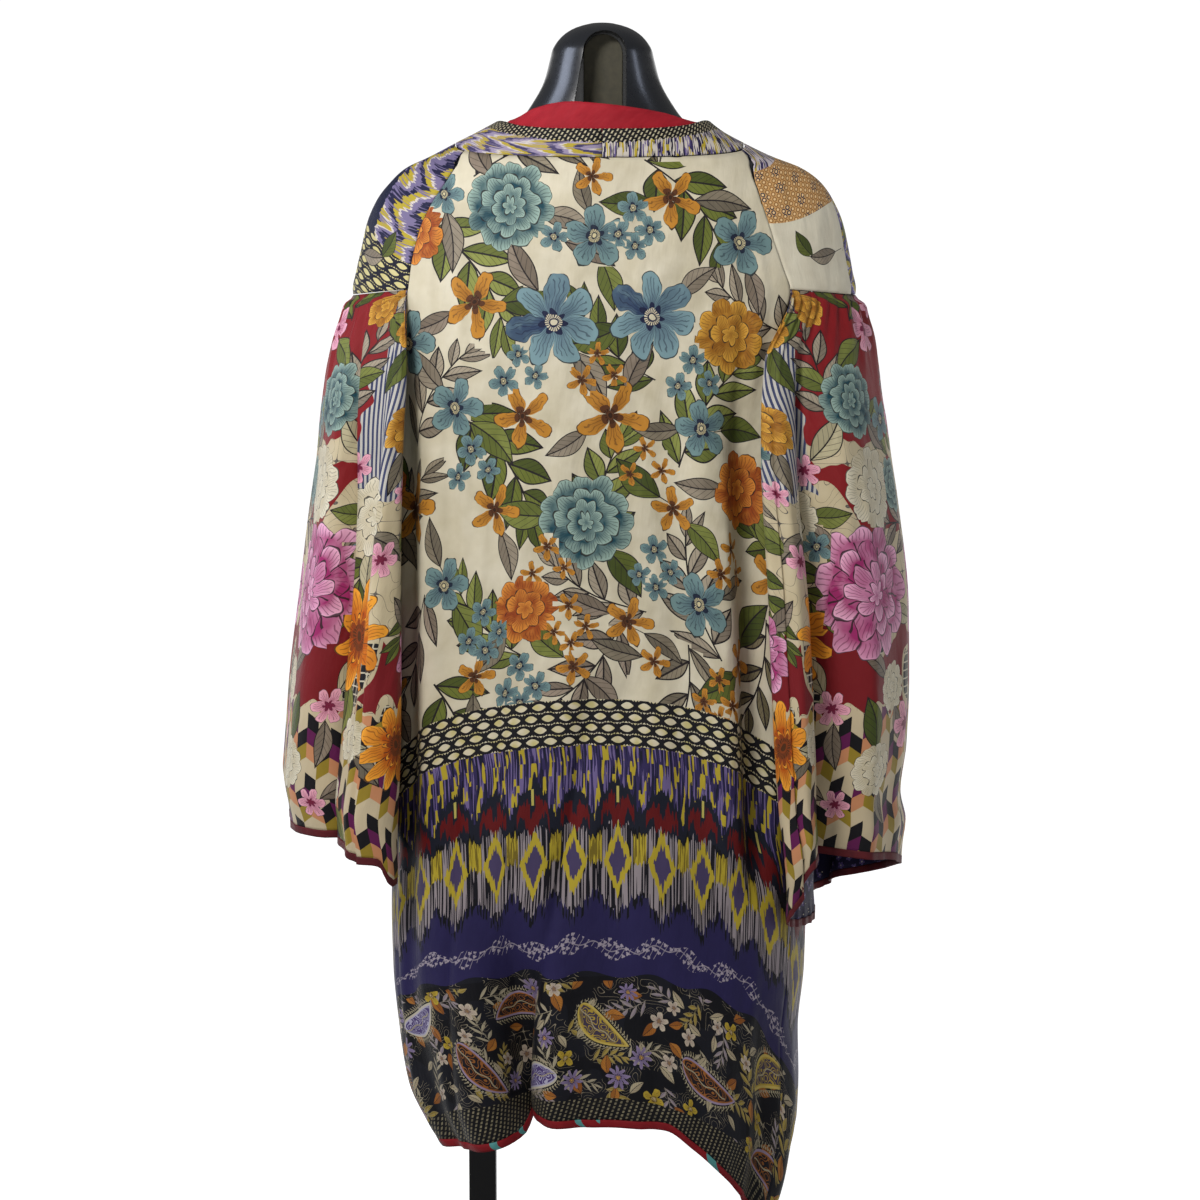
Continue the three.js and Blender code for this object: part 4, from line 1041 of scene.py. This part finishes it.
def front_grid(side, rows, columns):
    s = np.linspace(0, 1, rows)[:, None]
    foot = float(top_of_binding(outer_edge(side, HEM_LEVEL, 1)))
    side_z = mix(YOKE_FOOT - 0.01, foot, s)
    band_z = mix(FRONT_SEAM, float(top_of_binding(band_outer(side, HEM_LEVEL))), s)
    gap = GAP * SIGN[side]
    share = np.linspace(0, 1, columns)[None, :]
    angle = mix(band_outer(side, band_z) - gap, outer_edge(side, side_z, -1) + gap, share)
    z = mix(mix(FRONT_SEAM, YOKE_FOOT, share) - SEAM, top_of_binding(angle), s)
    return (angle, z) if side == "left" else (angle[:, ::-1], z[:, ::-1])


FRONTS = (("left", 26, (0.15, 0.82), 0.10), ("right", 46, (0.24, 0.84), 0.16))
for side, columns, flat, area in FRONTS:
    front_cloth = body_piece("front_" + side, front_grid(side, 150, columns))

# ------------------------------------------------------------------ shoulder yokes
# A yoke of patched silk over each dropped shoulder: ikat and net on the left, knots and leaves on the right.
# It is sewn to the back, the front, the neckband and the gathered head of the sleeve.
HEAD_DIP = 5
NECKBAND = table(
    "angle inner outer",
    (0, 1094, 1070), (20, 1094.5, 1071), (40, 1097, 1073.5), (58, 1101, 1077.5),
    (75, 1105, 1083), (88, 1106, 1085), (102, 1102, 1083), (118, 1094, 1077.5),
)


def yoke_grid(side, rows, columns):
    height = np.linspace(YOKE_TOP, YOKE_FOOT, rows)[:, None]
    down = (YOKE_TOP - height) / (YOKE_TOP - YOKE_FOOT)
    gap = GAP * SIGN[side]
    corner = float(armhole_angle(side, YOKE_FOOT, -1))
    seam_end = float(band_outer(side, FRONT_SEAM))
    seam = mix(corner, seam_end, (height - YOKE_FOOT) / (FRONT_SEAM - YOKE_FOOT))
    to = np.where(height >= FRONT_SEAM, band_outer(side, height), seam) - gap
    share = np.linspace(0, 1, columns)[None, :]
    angle = mix(outer_edge(side, height, 1) + gap, to, share)
    top = read(NECKBAND, "angle", np.abs(angle), "outer") - SEAM
    foot = YOKE_FOOT + SEAM - HEAD_DIP * np.sin(math.pi * share)
    z = height + (top - YOKE_TOP) * (1 - down) ** 2 + (foot - YOKE_FOOT) * down
    return (angle, z) if side == "right" else (angle[:, ::-1], z[:, ::-1])


def ikat(s, u, v, period=34, palette=((30, 31, 52), (92, 78, 140), YELLOW, (190, 182, 196))):
    """Torn zigzags in rows: u across the threads, v along them."""
    torn = ragged(s, u, v, period * 0.14)
    step = (torn / period + u.wave(period * 1.3) * 0.9 + s.noise(u / 13, v / period * 0.8, 1.0) * 1.5).fract()
    colour = s.over(step > 0.3, palette[0], palette[1])
    colour = s.over(step > 0.52, colour, palette[3])
    colour = s.over(step > 0.64, colour, palette[2])
    return s.over((s.noise(u / 1.4, v / 34, 0.0) - 0.56).max(0) * 9, colour, palette[1])


def knots(s, u, v):
    """Ochre woven rings with dark blue clusters."""
    x, y = (u / 5).fract() - 0.5, ((v + 1.6 * (u / 5).floor()) / 4.6).fract() - 0.5
    r = radius(x, y)
    dx, dy, _ = s.cells(u / 19, v / 17, 0.3)
    cluster = radius(dx, dy) < 0.27
    colour = s.over(r < 0.22, (206, 162, 106), (232, 202, 152))
    return s.over((r - 0.36).near(0.1), colour, s.over(cluster, (156, 108, 58), (32, 34, 62)))


def yoke_silk(side):
    s = Shader("yoke_print_" + side)
    u, v = s.uv("cloth")
    if side == "left":
        torn = ikat(s, v, u, 36, ((30, 30, 60), (118, 108, 142), YELLOW, (204, 194, 186)))
        ragged_u = u + 8 * s.noise(v / 3, u / 30, 0.0)
        colour = s.over((ragged_u > 66 - 0.1 * v) * (ragged_u < 112), torn, (26, 30, 54))
        net = chain(s, u * 0.7, v, 8.0, 12.0, 1.9, (206, 196, 140), (24, 24, 38))
        return silk(s, add_leaves(s, s.over(v > 112 - 0.1 * u, colour, net)))
    top = drips(s, u, v)
    edge = ikat(s, v, u, 26)
    cream = s.over(s.noise(u / 20, v / 20), (206, 196, 172), (232, 226, 204))
    rings = knots(s, u, v)
    streaked = s.over(s.noise(u / 2, v / 20) > 0.5, top, (206, 196, 200))
    colour = s.over(v > 30 - 0.04 * u, streaked, rings)
    colour = s.over(v > 78 + 0.16 * u, colour, cream)
    colour = s.over((u > 96 - 0.12 * v) * (v > 64), colour, edge)
    ragged_u = u + 6 * s.noise(v / 3, u / 30, 0.0)
    colour = s.over(ragged_u > 118, colour, (28, 30, 52))
    return silk(s, add_leaves(s, s.over(ragged_u > 150, colour, s.over(v > 70, rings, edge))))


YOKE_LEAVES = [(34, 118, 30, 250, *LEAVES[2]), (64, 128, 36, 200, *LEAVES[1]), (84, 126, 34, 330, *LEAVES[0])]
YOKE_LAYERS = (motif_layer("leaf", YOKE_LEAVES, LEAF_FIELDS, LEAF_OVAL),)


def down_lengths(points):
    return arc_lengths(points.transpose(1, 0, 2)).T


def yoke_piece(side):
    points = drape(*yoke_grid(side, 56, 70), CLOTH_FACE)
    steps = arc_lengths(points)
    u = steps if side == "right" else steps[:, -1:] - steps
    cloth = u, down_lengths(points)
    return sheet_mesh(
        "yoke_" + side, points, cloth, [yoke_silk(side), reverse], layers=YOKE_LAYERS
    )


for side, length, area in (("left", 0.15, 0.027), ("right", 0.16, 0.028)):
    yoke_piece(side)

# ------------------------------------------------------------------ neckband
# A band of ikat and black knit, cut in two halves that meet in a seam at the middle of the back.
# Each half is sewn round the neck and down its front edge. Its inner face is red.
BAND_FACE = 0.25
BAND_FOOT, SLANT = 205, 9  # where it meets the hem, and how far its inner edge stands up at the shoulder


def band_grid(side, along, across):
    """A neckband half, one row for each place along it: round the neck, then down the front."""
    way, gap = SIGN[side], GAP * SIGN[side]
    turns, ends = (abs(float(a)) for a in (outer_edge(side, YOKE_TOP, 1), band_outer(side, YOKE_TOP)))
    share = np.linspace(0, 1, across)[None, :]
    a = np.linspace(0.1, ends, along // 4)[:, None]
    turned = np.clip((a - turns) / (ends - turns), 0, 1) ** 2
    inner_angle = mix(a, abs(float(band_inner(side, YOKE_TOP))), turned)
    inner = mix(read(NECKBAND, "angle", a, "inner"), YOKE_TOP + SLANT, turned)
    outer = read(NECKBAND, "angle", a, "outer") + SEAM
    neck = way * mix(inner_angle, a, share), mix(inner, outer, share)
    s = np.linspace(0, 1, along)[1:, None]
    level = mix(YOKE_TOP, BAND_FOOT, s)
    angle = mix(band_inner(side, level), band_outer(side, level) + gap, share)
    slant = SLANT * ease((level - 1000) / 78) * (1 - share)
    z = mix(YOKE_TOP, top_of_binding(angle), s) + slant
    angle, z = np.vstack([neck[0], angle]), np.vstack([neck[1], z])
    return (angle[:, ::-1], z[:, ::-1]) if side == "right" else (angle, z)


def band_silk():
    """u runs along the band and v across it, with a seam at the middle of the back."""
    s = Shader("neckband_print")
    u, v = s.uv("cloth")
    along = ikat(s, v * 2.6 + u * 0.1, u, 34, ((64, 58, 96), (150, 138, 164), YELLOW, (206, 198, 190)))
    across = s.over(s.noise(u / 1.5, v / 16, 1.0) > 0.52, drips(s, u, v), (200, 192, 182))
    torn = s.over(u > 0, along, across)
    knit = s.over(dashes(s, u, v - 1, 3.7, 4.2, 0.5), (16, 15, 18), (190, 180, 150))
    return silk(s, s.over(v < 12 + 0.8 * (u * 1.6).sin(), torn, knit))


def red_silk(name, dark, light, spots=0.0):
    """Plain red with a few turquoise spots, as a strip cut from a larger print has."""
    s = Shader(name)
    u, v = s.uv("cloth")
    colour = s.over(s.noise(u / 12, v / 12), dark, light)
    spotted = (s.noise(u / 16, v / 60, 0.0) > 0.73 - spots) * (spots > 0)
    return silk(s, s.over(spotted, colour, (84, 150, 148)), 0.55)


bands = band_silk()
red = red_silk("facing_red", (140, 18, 32), (176, 36, 48))


def band_piece(side):
    points = drape(*band_grid(side, 180, 12), BAND_FACE)
    across = arc_lengths(points)
    cloth = down_lengths(points) * SIGN[side], across if side == "left" else across[:, -1:] - across
    return sheet_mesh("neckband_" + side, points, cloth, [bands, red])


for side in ("left", "right"):
    band_piece(side)

# ------------------------------------------------------------------ sleeves
# Wide sleeves of patched silk: red and cream with large flowers, a striped inner patch and a foot of blocks.
# Each is gathered into the yoke and armhole at its head, hangs in lobes and is drawn in a little at the cuff.
LIFT, HANG = 5, 480  # how far a sleeve stands off the body, and its length
SWELL = table(
    "z left right",
    (400, 99, 80), (440, 101, 84), (495, 101, 80), (520, 99, 75), (563, 95, 80), (617, 90, 82),
    (688, 80, 81), (776, 67, 70), (838, 55, 57), (881, 41, 42), (920, 22, 24), (945, 8, 9), (960, 0, 0),
)
CUFF = table(
    "turn left right",
    (-180, 484, 408), (-90, 472, 410), (-45, 482, 428), (-8, 493, 458), (12, 495, 472), (45, 489, 482),
    (60, 480, 476), (72, 478, 452), (92, 458, 430), (125, 461, 418), (155, 480, 412), (180, 484, 408),
)
# Folds: where each lies at the head and at the cuff, its half width, how far out, where it starts, its lean.
SLEEVE_FOLDS = {
    "left": table(
        "top low half out from lean",
        (56, 36, 19, -24, 0, 0), (12, 6, 20, -5, 0, 0), (-58, -50, 22, -20, 0, 0), (-20, -16, 18, 4, 0, 0),
        (39, 35, 6, -22, -20, 11), (78, 62, 9, 4, 40, 0), (-4, -12, 7, 3, 60, 0), (66, 58, 5, -5, 10, 3),
    ),
    "right": table(
        "top low half out from lean",
        (48, 43, 19, -27, 0, 0), (10, 14, 18, -4, 0, 0), (-60, -52, 22, -20, 0, 0), (-22, -16, 18, 5, 0, 0),
        (52, 44, 5.5, -17, -20, 5), (72, 68, 7, -6, 40, 4), (0, 4, 7, 3, 60, 0), (26, 30, 5, -5, 60, 0),
        (46, 35, 14, -30, 130, 0),
    ),
}


def sleeve_head(turn):
    sine = np.sin(np.radians(turn))
    outside = YOKE_FOOT - SEAM - HEAD_DIP * np.cos(math.pi / 2 * sine)
    inside = UNDERARM + (YOKE_FOOT - UNDERARM - SEAM) * sine**2
    return np.where(np.abs(turn) <= 90, outside, inside)


def gathers(turn, side):
    """Uneven small pleats round the sleeve's head, each between 0 and 1."""
    phase = turn / 90 * math.pi * 19 + 1.3 * np.sin(turn * 0.11 + SIGN[side]) + 0.8 * np.sin(turn * 0.37)
    return (1 - np.cos(phase)) / 2 * (0.55 + 0.45 * np.sin(turn * 0.23 + 2 * SIGN[side]) ** 2)


def sleeve(side, turn, z, extra=0):
    """The sleeve's surface. turn is 0 on its outer side and 90 at the back. extra lifts it outwards."""
    wrapped = (turn + 180) % 360 - 180
    round_ = np.radians(wrapped)
    middle, reach = (read(WRAP[side], "z", z, c) for c in ("middle", "reach"))
    fill = ((1 + np.cos(round_)) / 2) ** 1.3
    below = sleeve_head(wrapped) - z
    above_cuff = z - read(CUFF, "turn", wrapped, side)
    drawn = 1 - 0.1 * ease((45 - above_cuff) / 45)
    out = 0.9 * ease((np.abs(wrapped) - 88) / 14) + LIFT * ease(below / 50)
    out = out + read(SWELL, "z", z, side) * fill * drawn * ease(below / 12 + 0.25)
    f = SLEEVE_FOLDS[side]
    slid = 0 * out
    for i in range(len(f["top"])):
        off = (wrapped - mix(f["top"][i], f["low"][i], np.clip(below / HANG, 0, 1))) / f["half"][i]
        share = ease((below - f["from"][i]) / 190)
        out = out + f["out"][i] * share * (1 + np.cos(math.pi * off)) / 2 * (np.abs(off) < 1)
        slid = slid + SIGN[side] * f["lean"][i] * share * ease(1 - np.abs(off - 1) / 1.3)
    # pleats from the gathered head, which die out 75 to 135 mm down, and small ones where the cuff draws in
    reach_down = 75 + 60 * np.sin(wrapped * 0.19 + SIGN[side]) ** 2
    near = ease(below / 8) * ease((reach_down - below) / reach_down) * (np.abs(wrapped) < 90)
    out = out + 4.6 * gathers(wrapped, side) * near
    drawstring = ease((26 - above_cuff) / 20) * (0.5 + 0.5 * np.cos(wrapped * 0.42))
    out = out + 1.4 * drawstring * np.cos(wrapped / 90 * math.pi * 13)
    return bare_drape(middle - SIGN[side] * (reach - 0.4) * np.sin(round_), z, out + extra, slid)


def sleeve_grid(side, rows, columns, cuff):
    turn = np.linspace(-90, 270, columns)[None, :]
    wrapped = (turn + 180) % 360 - 180
    foot = read(CUFF, "turn", wrapped, side)
    s = np.linspace(0, 1, rows)[:, None]
    top = foot + BINDING + 0.7 if cuff else sleeve_head(wrapped)
    z = mix(top, foot if cuff else foot + BINDING, s)
    turn = turn + 0 * s
    return (turn, z) if side == "left" else (turn[:, ::-1], z[:, ::-1])


def blocks(s, u, v, width=10.5, height=13.0):
    """Blocks that seem to tumble: columns of slanted tiles, slanted the other way in every second column."""
    column = (u / width).floor()
    odd = (column * 0.5).fract() * 2
    x = (u / width).fract()
    y = v / height + (x + odd * (1 - 2 * x)) * 0.5
    turn = ((y.floor() + column * 1.5) / 4).fract()
    colour = s.over(turn > 0.2, (198, 182, 150), (22, 20, 24))
    colour = s.over(turn > 0.45, colour, s.over(odd, (150, 128, 44), (96, 28, 78)))
    return s.over(turn > 0.7, colour, s.over(odd, (198, 182, 150), (198, 136, 96)))


def stripes(s, u, v, width=4.4, pale=(190, 186, 178), dark=(60, 66, 98)):
    return s.over(((u - v * 0.24) / width).fract() > 0.52, pale, dark)


def grid_lines(s, u, v):
    line = (((u / 7).fract() - 0.5).near(0.09) + ((v / 7).fract() - 0.5).near(0.09)).min(1)
    return s.over(line, (30, 30, 34), (200, 192, 168))


def sleeve_silk(side):
    s = Shader("sleeve_print_" + side)
    u, v = s.uv("cloth")
    edge = v + 50 * (s.noise(u / 26, v / 50, 1.0) - 0.5)
    inner = u + 40 * (s.noise(u / 40, v / 34 + 7, 1.0) - 0.5) > 116
    cream = s.over(s.noise(u / 30, v / 30), (184, 168, 132), (212, 198, 166))
    cream = s.over(((s.noise(u / 24, v / 24, 0.0) * 7).fract() - 0.5).near(0.022), cream, (96, 90, 84))
    patch = s.noise(u / 42 + 3, v / 60, 0.0)
    red_patches = (edge < 126) + (edge > 146) * (edge < 204) * (patch > 0.45)
    ground = s.over((1 - inner) * red_patches, cream, (132, 28, 32))
    ground = s.over(inner * (edge > 8) * (edge < 168), ground, stripes(s, u, v))
    ground = s.over((edge > 290) * (edge < 350) * (patch > 0.47), ground, (120, 26, 32))
    ground = s.over((edge > 296) * (edge < 356) * (patch < 0.42), ground, grid_lines(s, u, v))
    ground = s.over(edge > 352, ground, blocks(s, u, v))
    return silk(s, add_blooms(s, add_leaves(s, add_sprays(s, ground))))


# On a sleeve, u is 0 on its outer side and grows towards the back, and v is down from the yoke.
SLEEVE_BLOOMS = (
    (72, 252, 60, 20, "peony"), (-50, 262, 48, 80, "peony"), (66, 92, 32, 0, "dahlia"),
    (94, 14, 18, 30, "gold"), (146, 30, 23, 0, "gold"), (176, 112, 24, 40, "gold"), (26, 34, 22, 0, "pink"),
    (54, 166, 36, 0, "outline"), (150, 190, 34, 45, "outline"), (122, 150, 15, 10, "pink"),
    (160, 292, 50, 0, "flame"), (122, 214, 15, 0, "blue"), (112, 352, 17, 0, "pink"),
    (40, 336, 22, 20, "outline"), (66, 404, 24, 0, "outline"), (180, 376, 22, 15, "outline"),
    (190, 224, 17, 0, "pink"), (98, 436, 14, 0, "pink"), (146, 424, 20, 0, "outline"),
    (16, 110, 20, 0, "blue"), (6, 166, 24, 0, "dahlia"), (10, 372, 24, 0, "pink"),
    (-110, 130, 30, 0, "dahlia"), (-120, 350, 46, 0, "flame"), (266, 300, 40, 0, "peony"),
    (210, 120, 30, 0, "dahlia"), (240, 380, 40, 0, "flame"), (-160, 240, 30, 0, "outline"),
    (-60, 60, 26, 0, "gold"), (-20, 110, 22, 0, "pink")
)
SLEEVE_LEAVES = LEAVES + ((0.22, (204, 194, 158), (150, 142, 112)),)
sleeve_motifs = strewn(
    (-260, 10, 280, 330), 92, (("pink", 11, 14), ("outline", 15, 20), ("blue", 11, 14)), 12, SLEEVE_BLOOMS
)
sleeve_leaves = leaves_round(sleeve_motifs[:28], 2, (38, 52), 9, SLEEVE_LEAVES)
SLEEVE_SPRAYS = tuple((*hue, INK) for hue in SLEEVE_LEAVES)
sleeve_sprays = scattered((-250, 0, 250, 240), (90, 120), 0.95, 4, range(0, 360, 45), SLEEVE_SPRAYS)
SLEEVE_LAYERS = (
    motif_layer("bloom", sleeve_motifs, KIND_FIELDS),
    motif_layer("leaf", sleeve_leaves, LEAF_FIELDS, LEAF_OVAL),
    motif_layer("spray", sleeve_sprays, SPRAY_FIELDS, SPRAY_OVAL),
)
cuff_reverse = reverse_silk("cuff_reverse", (34, 30, 58), (92, 78, 128))


def sleeve_piece(side):
    turn, z = sleeve_grid(side, 150, 190, False)
    points = sleeve(side, turn, z)
    steps = arc_lengths(points)
    outer = [
        np.interp(0, t, s) if t[0] < t[-1] else np.interp(0, t[::-1], s[::-1]) for t, s in zip(turn, steps)
    ]
    u = (steps - np.array(outer)[:, None]) * (1 if side == "left" else -1)
    cloth = u, YOKE_FOOT - z
    prints = [sleeve_silk(side), cuff_reverse]
    return sheet_mesh(
        "sleeve_" + side, points, cloth, prints, closed=True, layers=SLEEVE_LAYERS
    )


for side, flat, area in (("left", (0.56, 0.50), 0.27), ("right", (0.60, 0.54), 0.30)):
    sleeve_piece(side)

# ------------------------------------------------------------------ cuff bindings
# A narrow strip of dark red silk round the foot of each sleeve, cut on the straight grain.
# It is folded over the cut edge of the sleeve and topstitched.
CUFF_FACE, CUFF_THICK = 0.35, 1.3
cuff_red = red_silk("cuff_red", (58, 22, 30), (112, 36, 40))


def cuff_piece(side):
    turn, z = sleeve_grid(side, 5, 190, True)
    points = sleeve(side, turn, z, CUFF_FACE)
    cloth = arc_lengths(points), YOKE_FOOT - z
    return sheet_mesh("cuff_binding_" + side, points, cloth, [cuff_red], CUFF_THICK, closed=True)


for side, flat, area in (("left", (0.60, 0.010), 0.0038), ("right", (0.56, 0.010), 0.0034)):
    cuff_piece(side)

# ------------------------------------------------------------------ hem binding
# One narrow strip of red silk with turquoise spots, from front edge to front edge.
# It is folded over the cut edge of the back and the fronts and topstitched.
HEM_FACE, HEM_ROUND, HEM_THICK = 0.45, 0.6, 1.5  # how far out its edges lie, how much its fold swells
hem_red = red_silk("hem_red", (112, 16, 24), (146, 26, 34), 0.06)


def hem_piece():
    ends = [float(band_inner(side, BAND_FOOT)) for side in ("left", "right")]
    level = np.linspace(1, 0, 5)[:, None]
    angle = np.linspace(ends[0], ends[1], 330)[None, :] + 0 * level
    z = hem_height(angle) + (BINDING + 1) * level
    points = drape(angle, z, HEM_FACE + HEM_ROUND * np.sin(math.pi * level))
    return sheet_mesh("hem_binding", points, (arc_lengths(points), -z), [hem_red], HEM_THICK)


hem_piece()

# ------------------------------------------------------------------ collar facing
# The red inner face of the band, which stands up inside the back of the neck and rolls outwards at its top.
# It is one strip, sewn in along the neck seam.
FACING_TOP = table("angle z", (-62, 1103), (-48, 1112), (-22, 1117), (0, 1115), (35, 1108.5), (62, 1101))
FACING_FOOT, FACING_REACH, FACING_FACE, FACING_THICK = 1086, 62, -2.6, 1.6


def facing_piece():
    level = np.linspace(1, 0, 16)[:, None]
    angle = np.linspace(-FACING_REACH, FACING_REACH, 90)[None, :] + 0 * level
    z = mix(FACING_FOOT, read(FACING_TOP, "angle", angle, "z"), level)
    points = drape(angle, z, FACING_FACE)
    points[..., 1] -= 2.4 * ease((z - 1097) / 14) * np.cos(np.radians(angle))
    points[..., 1] -= 0.5 * np.sin(angle * 0.31) * ease((z - 1100) / 12)
    return sheet_mesh("collar_facing", points, (arc_lengths(points), -z), [red], FACING_THICK)


facing_piece()

# ------------------------------------------------------------------ camera
# It stands behind the wearer, a little above the shoulders, and looks down slightly. The frame is square, and
# FRAME_WIDTH metres wide where it is aimed.
EYE_DISTANCE, LOOK_DOWN, AIM = 2.4, math.radians(7), Vector((-0.0018, 0, 0.688))
FRAME_WIDTH, SENSOR = 1.056, 36
cam = bpy.data.cameras.new("camera")
cam.lens = SENSOR * EYE_DISTANCE / FRAME_WIDTH
cam.sensor_width = SENSOR
camera = bpy.data.objects.new("camera", cam)
bpy.context.collection.objects.link(camera)
back = Vector((0, -math.cos(LOOK_DOWN), math.sin(LOOK_DOWN)))
camera.location = AIM + back * EYE_DISTANCE
camera.rotation_euler = back.to_track_quat("Z", "Y").to_euler()
bpy.context.scene.camera = camera

# ------------------------------------------------------------------ light, floor and surroundings
# A plain studio: a soft lamp above, on the wearer's left and behind, and a faint cool light from each side.


def lamp(name, place, aim, size, watts, colour=(1, 1, 1)):
    light = bpy.data.lights.new(name, "AREA")
    light.shape, light.size, light.size_y = "RECTANGLE", *size
    light.energy, light.color = watts, colour
    made = bpy.data.objects.new(name, light)
    made.location = place
    made.rotation_euler = (Vector(place) - Vector(aim)).to_track_quat("Z", "Y").to_euler()
    bpy.context.collection.objects.link(made)


lamp("ceiling", (-0.8, -1.4, 2.05), (0, 0, 0.85), (0.5, 0.3), 29.5, (1, 0.985, 0.97))
lamp("window", (-1.1, -0.15, 1.45), (0, 0, 1.1), (0.5, 0.8), 5, (0.72, 0.8, 1))
lamp("doorway", (1.0, -0.2, 1.35), (0, 0, 1.1), (0.12, 0.6), 0.8, (0.72, 0.8, 1))

# The floor is pale paper, which glows like a light table in front of the wearer and, more faintly, far off.
floor_mesh = bpy.data.meshes.new("floor")
FLOOR = 40  # half its width, in metres
corners = [(-FLOOR, -FLOOR, 0), (FLOOR, -FLOOR, 0), (FLOOR, FLOOR, 0), (-FLOOR, FLOOR, 0)]
floor_mesh.from_pydata(corners, [], [(0, 1, 2, 3)])
floor = bpy.data.objects.new("floor", floor_mesh)
bpy.context.collection.objects.link(floor)
paper = Shader("paper")
place = paper.node("SeparateXYZ", {0: paper.node("TexCoord").outputs["Object"]})
paper.put(paper.bsdf.inputs["Base Color"], (218, 218, 218))
paper.put(paper.bsdf.inputs["Roughness"], 0.9)
paper.put(paper.bsdf.inputs["Emission Color"], (255, 255, 255))
x, y = Num(paper, place.outputs[0]), Num(paper, place.outputs[1])
far = ((radius(x, y) - 1.2) * 0.25).max(0).min(0.42)
paper.put(paper.bsdf.inputs["Emission Strength"], ((y + 0.1) * 1.9).max(far).min(1))
floor_mesh.materials.append(paper.material)

# White all round at the camera's height, as paper is, and dim above and below.
world = bpy.data.worlds.new("studio")
bpy.context.scene.world = world
world.use_nodes = True
nodes, links = world.node_tree.nodes, world.node_tree.links
nodes.clear()
way = nodes.new("ShaderNodeSeparateXYZ")
links.new(nodes.new("ShaderNodeTexCoord").outputs["Generated"], way.inputs[0])
brightness = nodes.new("ShaderNodeFloatCurve")
points = brightness.mapping.curves[0].points
BRIGHTNESS = ((0.0, 0.1), (0.2, 0.1), (0.26, 1.0), (0.556, 1.0), (0.61, 0.07), (1.0, 0.12))
for at, value in BRIGHTNESS:
    point = points[0] if at == 0 else points[-1] if at == 1 else points.new(at, value)
    point.location, point.handle_type = (at, value), "VECTOR"
brightness.mapping.update()
shifted = nodes.new("ShaderNodeMapRange")
shifted.inputs["From Min"].default_value = -1
links.new(way.outputs[2], shifted.inputs["Value"])
links.new(shifted.outputs[0], brightness.inputs["Value"])
background = nodes.new("ShaderNodeBackground")
background.inputs["Color"].default_value = (1.06, 1.06, 1.06, 1)
links.new(brightness.outputs[0], background.inputs["Strength"])
links.new(background.outputs[0], nodes.new("ShaderNodeOutputWorld").inputs[0])
bpy.context.scene.view_settings.view_transform = "Standard"
bpy.context.scene.view_settings.look = "None"
